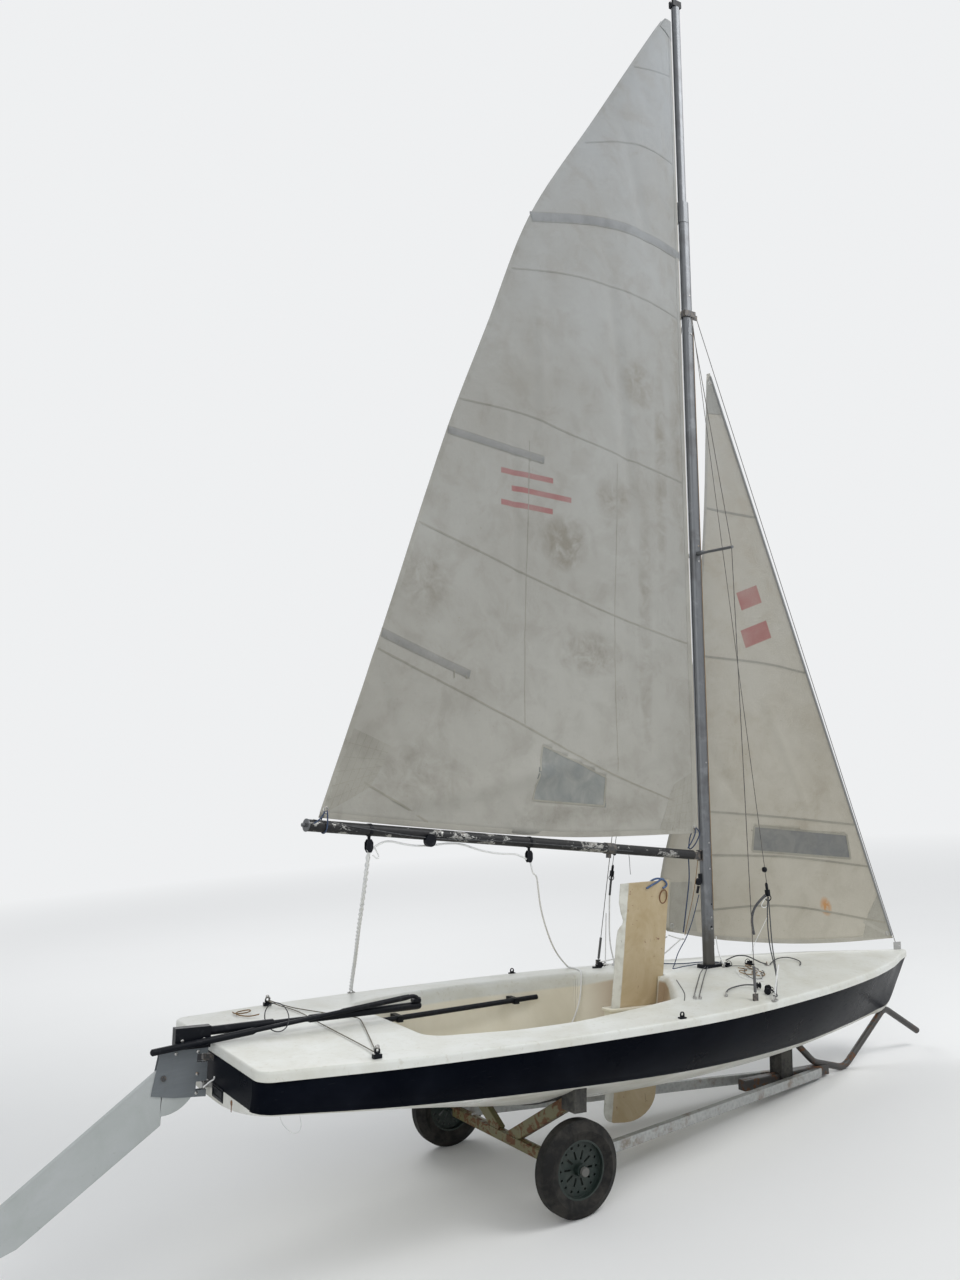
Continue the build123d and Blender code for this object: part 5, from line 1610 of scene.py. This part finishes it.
def smallBlock(piece, at, along, size):
    # a ball-bearing block lying on its side plate: two cheeks, a sheave and a becket
    at, along = Vector(at), Vector(along).normalized()
    side = along.cross(Vector((0, 0, 1))).normalized()
    for hand in (-1, 1):
        cheek = [(0.002, 0), (0.012 * size, 0), (0.014 * size, 0.002), (0.012 * size, 0.004), (0.004, 0.005)]
        piece.lathe(cheek, at + side * (hand * 0.0060 * size) - side * 0.0025, side, 18)
    piece.lathe([(0.009 * size, -0.005), (0.007 * size, 0), (0.009 * size, 0.005)], at, side, 18)
    piece.lathe([(0.0035, -0.011 * size), (0.0035, 0.011 * size)], at, side, 8)
    piece.ring(at + along * 0.019 * size, side, 0.007 * size, 0.0018 * size, 8, 16)


def jamCleat(piece, x, y, turn):
    # two toothed jaws on a base, with a wire bridge over them
    along = Vector((math.cos(turn), math.sin(turn), 0))
    side = Vector((-along.y, along.x, 0))
    base = deckAt(x, y, 0)
    piece.box(base + Vector((0, 0, 0.004)), (0.052, 0.026, 0.008), along)
    for hand in (-1, 1):
        jaw = base + side * (0.008 * hand) + Vector((0, 0, 0.008))
        piece.lathe([(0.0085, 0), (0.0085, 0.006), (0.0095, 0.0075), (0.0085, 0.009), (0.0095, 0.0105),
                     (0.0080, 0.013)], jaw, (0, 0, 1), 14)
    path = [base + side * (0.017 * math.cos(a)) + along * 0.020 + Vector((0, 0, 0.006 + 0.022 * math.sin(a)))
            for a in evenly(0, math.pi, 8)]
    piece.tube(path, 0.0020, 8)


# Deck gear: x, y, turn in degrees
deckGear = {
    "eyes": [(2.386, -0.507, 40), (2.566, -0.650, 10), (2.548, 0.560, -10), (2.472, 0.556, 0),
             (3.050, -0.136, 60), (2.214, -0.474, 45), (2.238, -0.484, 45), (2.820, -0.052, 20),
             (0.938, 0.680, 5), (2.862, 0.022, 80)],
    "cleats": [(2.840, -0.050, 20), (2.981, -0.077, 80), (2.345, 0.466, -35)],
    "blocks": [((2.628, -0.486, 0.020), (0.4, 0.9, 0)), ((2.640, -0.536, 0.020), (0.2, -1, 0)),
               ((2.606, -0.566, 0.016), (1, -0.4, 0)), ((2.358, 0.452, 0.018), (1, -0.5, 0))]}


def buildDeckGear():
    eyes, cleats = Piece("deckEyes"), Piece("deckCleats")
    for x, y, turn in deckGear["eyes"]:
        eyeFoot(eyes, x, y, math.radians(turn))
    for x, y, turn in deckGear["cleats"]:
        jamCleat(cleats, x, y, math.radians(turn))
    for (x, y, up), along in deckGear["blocks"]:
        smallBlock(cleats, deckAt(x, y, up), along, 1.15)
    eyes.done("stainless", "boat", bevel=0.0006)
    cleats.done("fitting_black", "boat", bevel=0.0008)
    # shackles in the traveller's eyes, and the screws that hold those eyes
    shackles = Piece("travellerShackles")
    for hand in (-1, 1):
        at = Vector((0.460, hand * 0.600, 0.792))
        shackles.ring(at + Vector((0, -hand * 0.006, 0.004)), (0.5, 1, 0.2), 0.0105, 0.0026, 8, 20)
        shackles.lathe([(0.002, -0.009), (0.007, -0.006), (0.009, 0), (0.007, 0.006), (0.002, 0.009)],
                       at + Vector((0, 0, 0.014)), (0, 0, 1), 14)
        for x in (-0.013, 0.013):
            shackles.lathe([(0.0045, 0), (0.0040, 0.003), (0.0015, 0.0042)],
                           (0.460 + x, hand * 0.6, 0.779), (0, 0, 1), 10)
    shackles.done("stainless", "boat")
    # the vang's block on the mast, and the mast's screws, black discs as painted shade in its holes, and
    # halyards
    mastGear = Piece("vangBlock", onMast)
    mastGear.box((-0.044, 0, 0.470), (0.016, 0.014, 0.050))
    mastGear.lathe([(0.004, -0.010), (0.019, -0.008), (0.019, 0.008), (0.004, 0.010)], (-0.056, 0, 0.452),
                   (0, 1, 0), 20)
    mastGear.lathe([(0.004, -0.013), (0.004, 0.013)], (-0.056, 0, 0.452), (0, 1, 0), 8)
    mastGear.box((-0.062, 0, 0.410), (0.010, 0.012, 0.040), (1, 0, -0.3))
    mastGear.done("fitting_black", "boat", bevel=0.0015)
    screws = Piece("mastScrews", onMast)
    for t in (0.20, 0.26, 0.52, 0.66, 1.10, 2.24, 2.33, 3.60, 3.84):
        for hand in (-1, 1):
            screws.lathe([(0.0050, 0), (0.0048, 0.0016), (0.0020, 0.0028)], (0.006, hand * 0.0262, t),
                         (0, hand, 0), 10)
    screws.done("stainless", "boat")
    # black discs stand for the mast's holes: painted shade of their insides
    hole = Piece("mastHoleShade", onMast)
    hole.lathe([(0.0075, 0), (0.0075, 0.0007)], (0.004, -0.0260, 0.208), (0, -1, 0), 16)
    hole.lathe([(0.0045, 0), (0.0045, 0.0007)], (0.010, -0.0260, 0.330), (0, -1, 0), 14)
    hole.done("fitting_black", "boat")
    rope("halyardFront", [(0.0355, -0.008, t) for t in (0.11, 0.60, 1.6, 2.6, 3.66)], 0.0022, "ropeDark",
         "boat", place=onMast)
    rope("halyardSide", [(0.020, -0.0290, t) for t in (0.30, 0.9, 1.8, 2.8, 3.64)], 0.0018, "ropeBrown",
         "boat", place=onMast)


# The lashings of the tack and the clew: radius, and route as s, y, t of the mainsail
lashings = {
    "tackLashing": (0.0032, [
        (0.034, -0.010, 0.746), (0.020, -0.028, 0.720), (0.040, -0.030, 0.690), (0.060, -0.020, 0.650),
        (0.070, 0.014, 0.622), (0.050, 0.030, 0.660), (0.040, 0.024, 0.710), (0.028, -0.004, 0.748),
        (0.055, -0.022, 0.712), (0.088, -0.022, 0.668), (0.110, -0.012, 0.636)]),
    "clewLashing": (0.0030, [
        (2.372, -0.008, 0.884), (2.380, -0.030, 0.850), (2.384, -0.028, 0.800), (2.388, 0.000, 0.786),
        (2.386, 0.028, 0.815), (2.378, 0.022, 0.860), (2.372, 0.004, 0.886), (2.400, -0.020, 0.860),
        (2.436, -0.026, 0.835), (2.462, -0.014, 0.822)])}
# The lines that hang from the boom at the gooseneck: look, radius, place on the boom, level route
hangingTails = {
    "tackTail": ("ropeBlue", 0.0034, (0.090, 0.002, 0.026), [
        (2.622, 0.004, 1.400), (2.626, 0.010, 1.331), (2.616, 0.018, 1.230), (2.607, 0.024, 1.145),
        (2.602, 0.030, 1.085), (2.606, 0.040, 1.062)]),
    "brownTail": ("ropeBrown", 0.0018, (0.020, -0.004, 0.026), [
        (2.672, 0.0, 1.380), (2.650, 0.004, 1.260), (2.622, 0.004, 1.170), (2.600, 0.006, 1.100),
        (2.590, 0.010, 1.050)])}
# The line led along the boom from the cheek block to the vang's collar, as places on the boom
outhaul = [(2.440, -0.014, -0.024), (2.200, -0.029, -0.004), (1.859, -0.034, 0.020), (1.500, -0.0285, 0.004),
           (1.000, -0.0275, 0.004), (0.560, -0.0275, 0.006)]


def buildLashings():
    for name, (radius, route) in lashings.items():
        rope(name, [(-s, y, t) for s, y, t in route], radius, "ropeBlue", "boom", place=onBoom)
    for name, (look, radius, start, route) in hangingTails.items():
        stretchRope(name, [boomAt(*start)] + [level(*p) for p in route], radius, look)
    top = boomAt(0.560, 0.0, 0.026)
    reef = [top] + [top + Vector(p) for p in ((0.002, 0, -0.03), (-0.001, 0, -0.07), (0.001, 0, -0.10))]
    freeRope("reefTail", reef, 0.0014, "ropeDark", "boom", place=asIs)
    rope("outhaul", [boomAt(*p) for p in outhaul], 0.0022, "ropeDark", "boom", place=asIs)


# The daggerboard: a flat foil with a round nose, a slanted top and a bevelled tail, knocked out of line
dagger = {"chord": 0.327, "half": 0.011, "edge": 0.003, "bevel": 0.048, "corner": 0.060,
          "tip": (0.190, 0.145), "aftTop": 1.172, "foreTop": 1.2174,
          # heights on the tail and how deep it is knocked there
          "break": [(0.880, 0.0), (0.912, 0.003), (0.935, 0.006), (0.950, 0.016), (0.968, 0.034),
                    (0.986, 0.036), (1.004, 0.028), (1.022, 0.018), (1.048, 0.010), (1.080, 0.0)],
          "ragged": 0.0016}


def buildBoard():
    chord, half = dagger["chord"], dagger["half"]
    nose = chord - half
    knocks = [(0.0, 0.0)] + dagger["break"] + [(1.3, 0.0)]
    rows = []
    heights = [0.0, 0.003, 0.008, 0.016, 0.026, 0.040] + evenly(dagger["corner"], dagger["aftTop"], 150)
    for z in heights:
        low, high = [(a, b) for a, b in zip(knocks, knocks[1:]) if a[0] <= z <= b[0]][0]
        tail = low[1] + (high[1] - low[1]) * (z - low[0]) / (high[0] - low[0])
        jagged = noise.noise(Vector((z * 60, 2.1, 0))) + 0.3 * noise.noise(Vector((z * 170, 5, 0)))
        tail += dagger["ragged"] * max(jagged, -0.2)
        drop = dagger["corner"] - z
        inset = dagger["corner"] - math.sqrt(max(dagger["corner"] ** 2 - drop ** 2, 0)) if drop > 0 else 0
        tipWide, tipHigh = dagger["tip"]
        rise = max(1 - z / tipHigh, 0)
        tail, front = max(tail, inset), nose - tipWide * (1 - math.sqrt(1 - rise * rise))
        side = [(tail, dagger["edge"]), (max(dagger["bevel"], tail + 0.01), half)]
        side += [(x, half) for x in evenly(dagger["bevel"], front, 10)[1:]]
        side += [(front + half * math.sin(a), half * math.cos(a)) for a in evenly(0, math.pi / 2, 5)[1:]]
        ring = [(x, -y) for x, y in side] + [(x, y) for x, y in reversed(side[:-1])]
        share = z / heights[-1]
        slant = (dagger["foreTop"] - dagger["aftTop"]) * share ** 3 / chord
        rows.append([(x, y, (dagger["aftTop"] + slant * x) * share) for x, y in ring])
    board = Piece("daggerFoil", onBoard).grid(rows, closedAcross=True)
    board.cap(rows[0], flip=True).cap(rows[-1])
    piece = board.done("foil_cream", "board", bevel=0.0012, angle=30)
    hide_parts("daggerboard")


# The two rope loops through the hole in the board's head, in the board's frame
boardLoops = {
    "boardRope": [
        (0.165, -0.0150, 1.162), (0.195, -0.0160, 1.180), (0.230, -0.0155, 1.197), (0.262, -0.0090, 1.214),
        (0.290, 0.0060, 1.222), (0.306, 0.0130, 1.210), (0.300, 0.0150, 1.190)],
    "boardRopeTwo": [
        (0.180, 0.0150, 1.165), (0.205, 0.0100, 1.200), (0.240, -0.0020, 1.220), (0.276, -0.0120, 1.218),
        (0.302, -0.0165, 1.200), (0.298, -0.0165, 1.180), (0.276, -0.0160, 1.172)]}


def buildBoardRopes():
    for name, route in boardLoops.items():
        freeRope(name, route, 0.0052, "ropeBoard", "board", place=onBoard)
    oval = circle(Vector((0.284, -0.0145, 1.128)), Vector((0.024, 0, 0)), Vector((0, -0.004, 0.035)), 1, 32)
    Piece("boardRing", onBoard).tube(oval, 0.0032, 8, closed=True).done("olive_paint", "board", "rustyRing")


# The tiller and its extension: x, y, z level and radius
tillerShape = [(-0.152, 0, 0.7970, 0.014), (-0.146, 0, 0.7975, 0.0175), (0.260, 0, 0.8060, 0.0180),
               (0.268, 0, 0.8061, 0.0120), (0.420, 0, 0.8095, 0.0120), (0.428, 0, 0.8096, 0.0165),
               (0.955, 0, 0.8215, 0.0175), (0.968, 0, 0.8218, 0.0150), (0.974, 0, 0.8220, 0.0080)]
extensionShape = [(-0.262, -0.0472, 0.7460, 0.0060), (-0.256, -0.0470, 0.7470, 0.0135),
                  (0.160, -0.0350, 0.7890, 0.0145), (0.176, -0.0346, 0.7910, 0.0095),
                  (0.560, -0.0240, 0.8300, 0.0095), (0.574, -0.0236, 0.8320, 0.0115),
                  (0.880, -0.0150, 0.8630, 0.0125), (0.904, -0.0142, 0.8655, 0.0110)]


def buildTiller():
    for name, shape, node in (("tillerTube", tillerShape, "tiller"),
                              ("extensionTube", extensionShape, "tiller_extension")):
        made = Piece(name)
        made.tube([p[:3] for p in shape], [p[3] for p in shape], 28)
        if node == "tiller_extension":
            bend = [(0.900, -0.0145, 0.8650), (0.925, -0.0135, 0.8660), (0.944, -0.0120, 0.8590),
                    (0.950, -0.0100, 0.8480)]
            made.tube(smoothPath(bend, 5), 0.0095, 20)
            made.box((0.944, -0.006, 0.846), (0.040, 0.030, 0.014))
            made.lathe([(0.010, -0.016), (0.012, -0.012), (0.012, 0.012), (0.010, 0.016)],
                       (0.958, -0.002, 0.842), (0, 0, 1), 18)
        piece = made.done("fitting_black", "rudder", bevel=0.001, angle=40)
        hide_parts(node)
    ring = Piece("tillerRing").ring((0.276, -0.004, 0.829), (0.80, 0.60, 0.08), 0.0600, 0.0024, 8, 48)
    ring.done("fitting_black", "rudder", "ropeDark")
    bolts = Piece("rudderBolts")
    for x, z, deep in ((-0.060, 0.726, 0.0142), (-0.060, 0.640, 0.0142), (-0.060, 0.566, 0.0142),
                       (-0.150, 0.726, 0.0142), (-0.130, 0.775, 0.0222), (-0.040, 0.775, 0.0222)):
        for hand in (-1, 1):
            bolts.lathe([(0.0065, 0), (0.0065, 0.0030), (0.0045, 0.0042)],
                        (x, hand * deep, z), (0, hand, 0), 12)
    bolts.done("stainless", "rudder")


# Tread blocks: the port wheel's middle, the tyre, and for each row its place across and its shift round
tyre = {"middle": (1.449, 0.555, 0.200), "radius": 0.200, "blocks": 44, "size": (0.021, 0.0135, 0.0024),
        "rows": ((-0.017, 0.0), (0.0, 0.5), (0.017, 0.0))}


def buildTyres():
    x, y, z = tyre["middle"]
    for side, hand in (("port", 1), ("starboard", -1)):
        tread = Piece("tread_" + side)
        for k in range(tyre["blocks"]):
            for row, shift in tyre["rows"]:
                turn = 2 * math.pi * (k + shift) / tyre["blocks"]
                out = Vector((math.cos(turn), 0, math.sin(turn)))
                tread.box(Vector((x, hand * y + row, z)) + out * (tyre["radius"] - tyre["size"][2] / 2),
                          tyre["size"], (-out.z, 0, out.x), out)
        tread.done("tyre", "wheel_" + side, bevel=0.0008)


def buildSmallTrim():
    # the transom's drain, a black frame with a flap inside it, and the rusty hole beside it
    drain, y, z = Piece("drainFrame"), -0.110, 0.580
    for hand in (-1, 1):
        drain.box((-0.0015, y, z + hand * 0.022), (0.004, 0.128, 0.006))
        drain.box((-0.0015, y + hand * 0.062, z), (0.004, 0.006, 0.050))
    drain.box((0.003, y, z), (0.003, 0.116, 0.034))
    drain.done("fitting_black", "boat", bevel=0.0008)
    hole = Piece("transomHole").lathe([(0.011, 0), (0.011, 0.0012), (0.008, 0.0016)], (0, -0.275, 0.580),
                                      (-1, 0, 0), 18)
    hole.box((-0.0006, -0.276, 0.562), (0.0012, 0.007, 0.030))
    hole.done("dark_steel", "boat", "rustyRing")
    # the bolts on the trolley's axle
    bolts = Piece("trolleyBolts")
    for y in (0.300, -0.300):
        bolts.lathe([(0.011, 0), (0.011, 0.007), (0.006, 0.009)], (1.449, y, 0.208), (0, 0, 1), 6)
    bolts.done("galvanised", "boat")


for build in (buildHull, buildDeck, buildMainsail, buildJib, buildMainsheet, buildDeckRopes, buildTrapeze,
              buildDeckGear, buildLashings, buildBoard, buildBoardRopes, buildTiller, buildTyres,
              buildSmallTrim):
    build()
print("ropes and gear made")
setCamera()
setStudio()
dressCad()
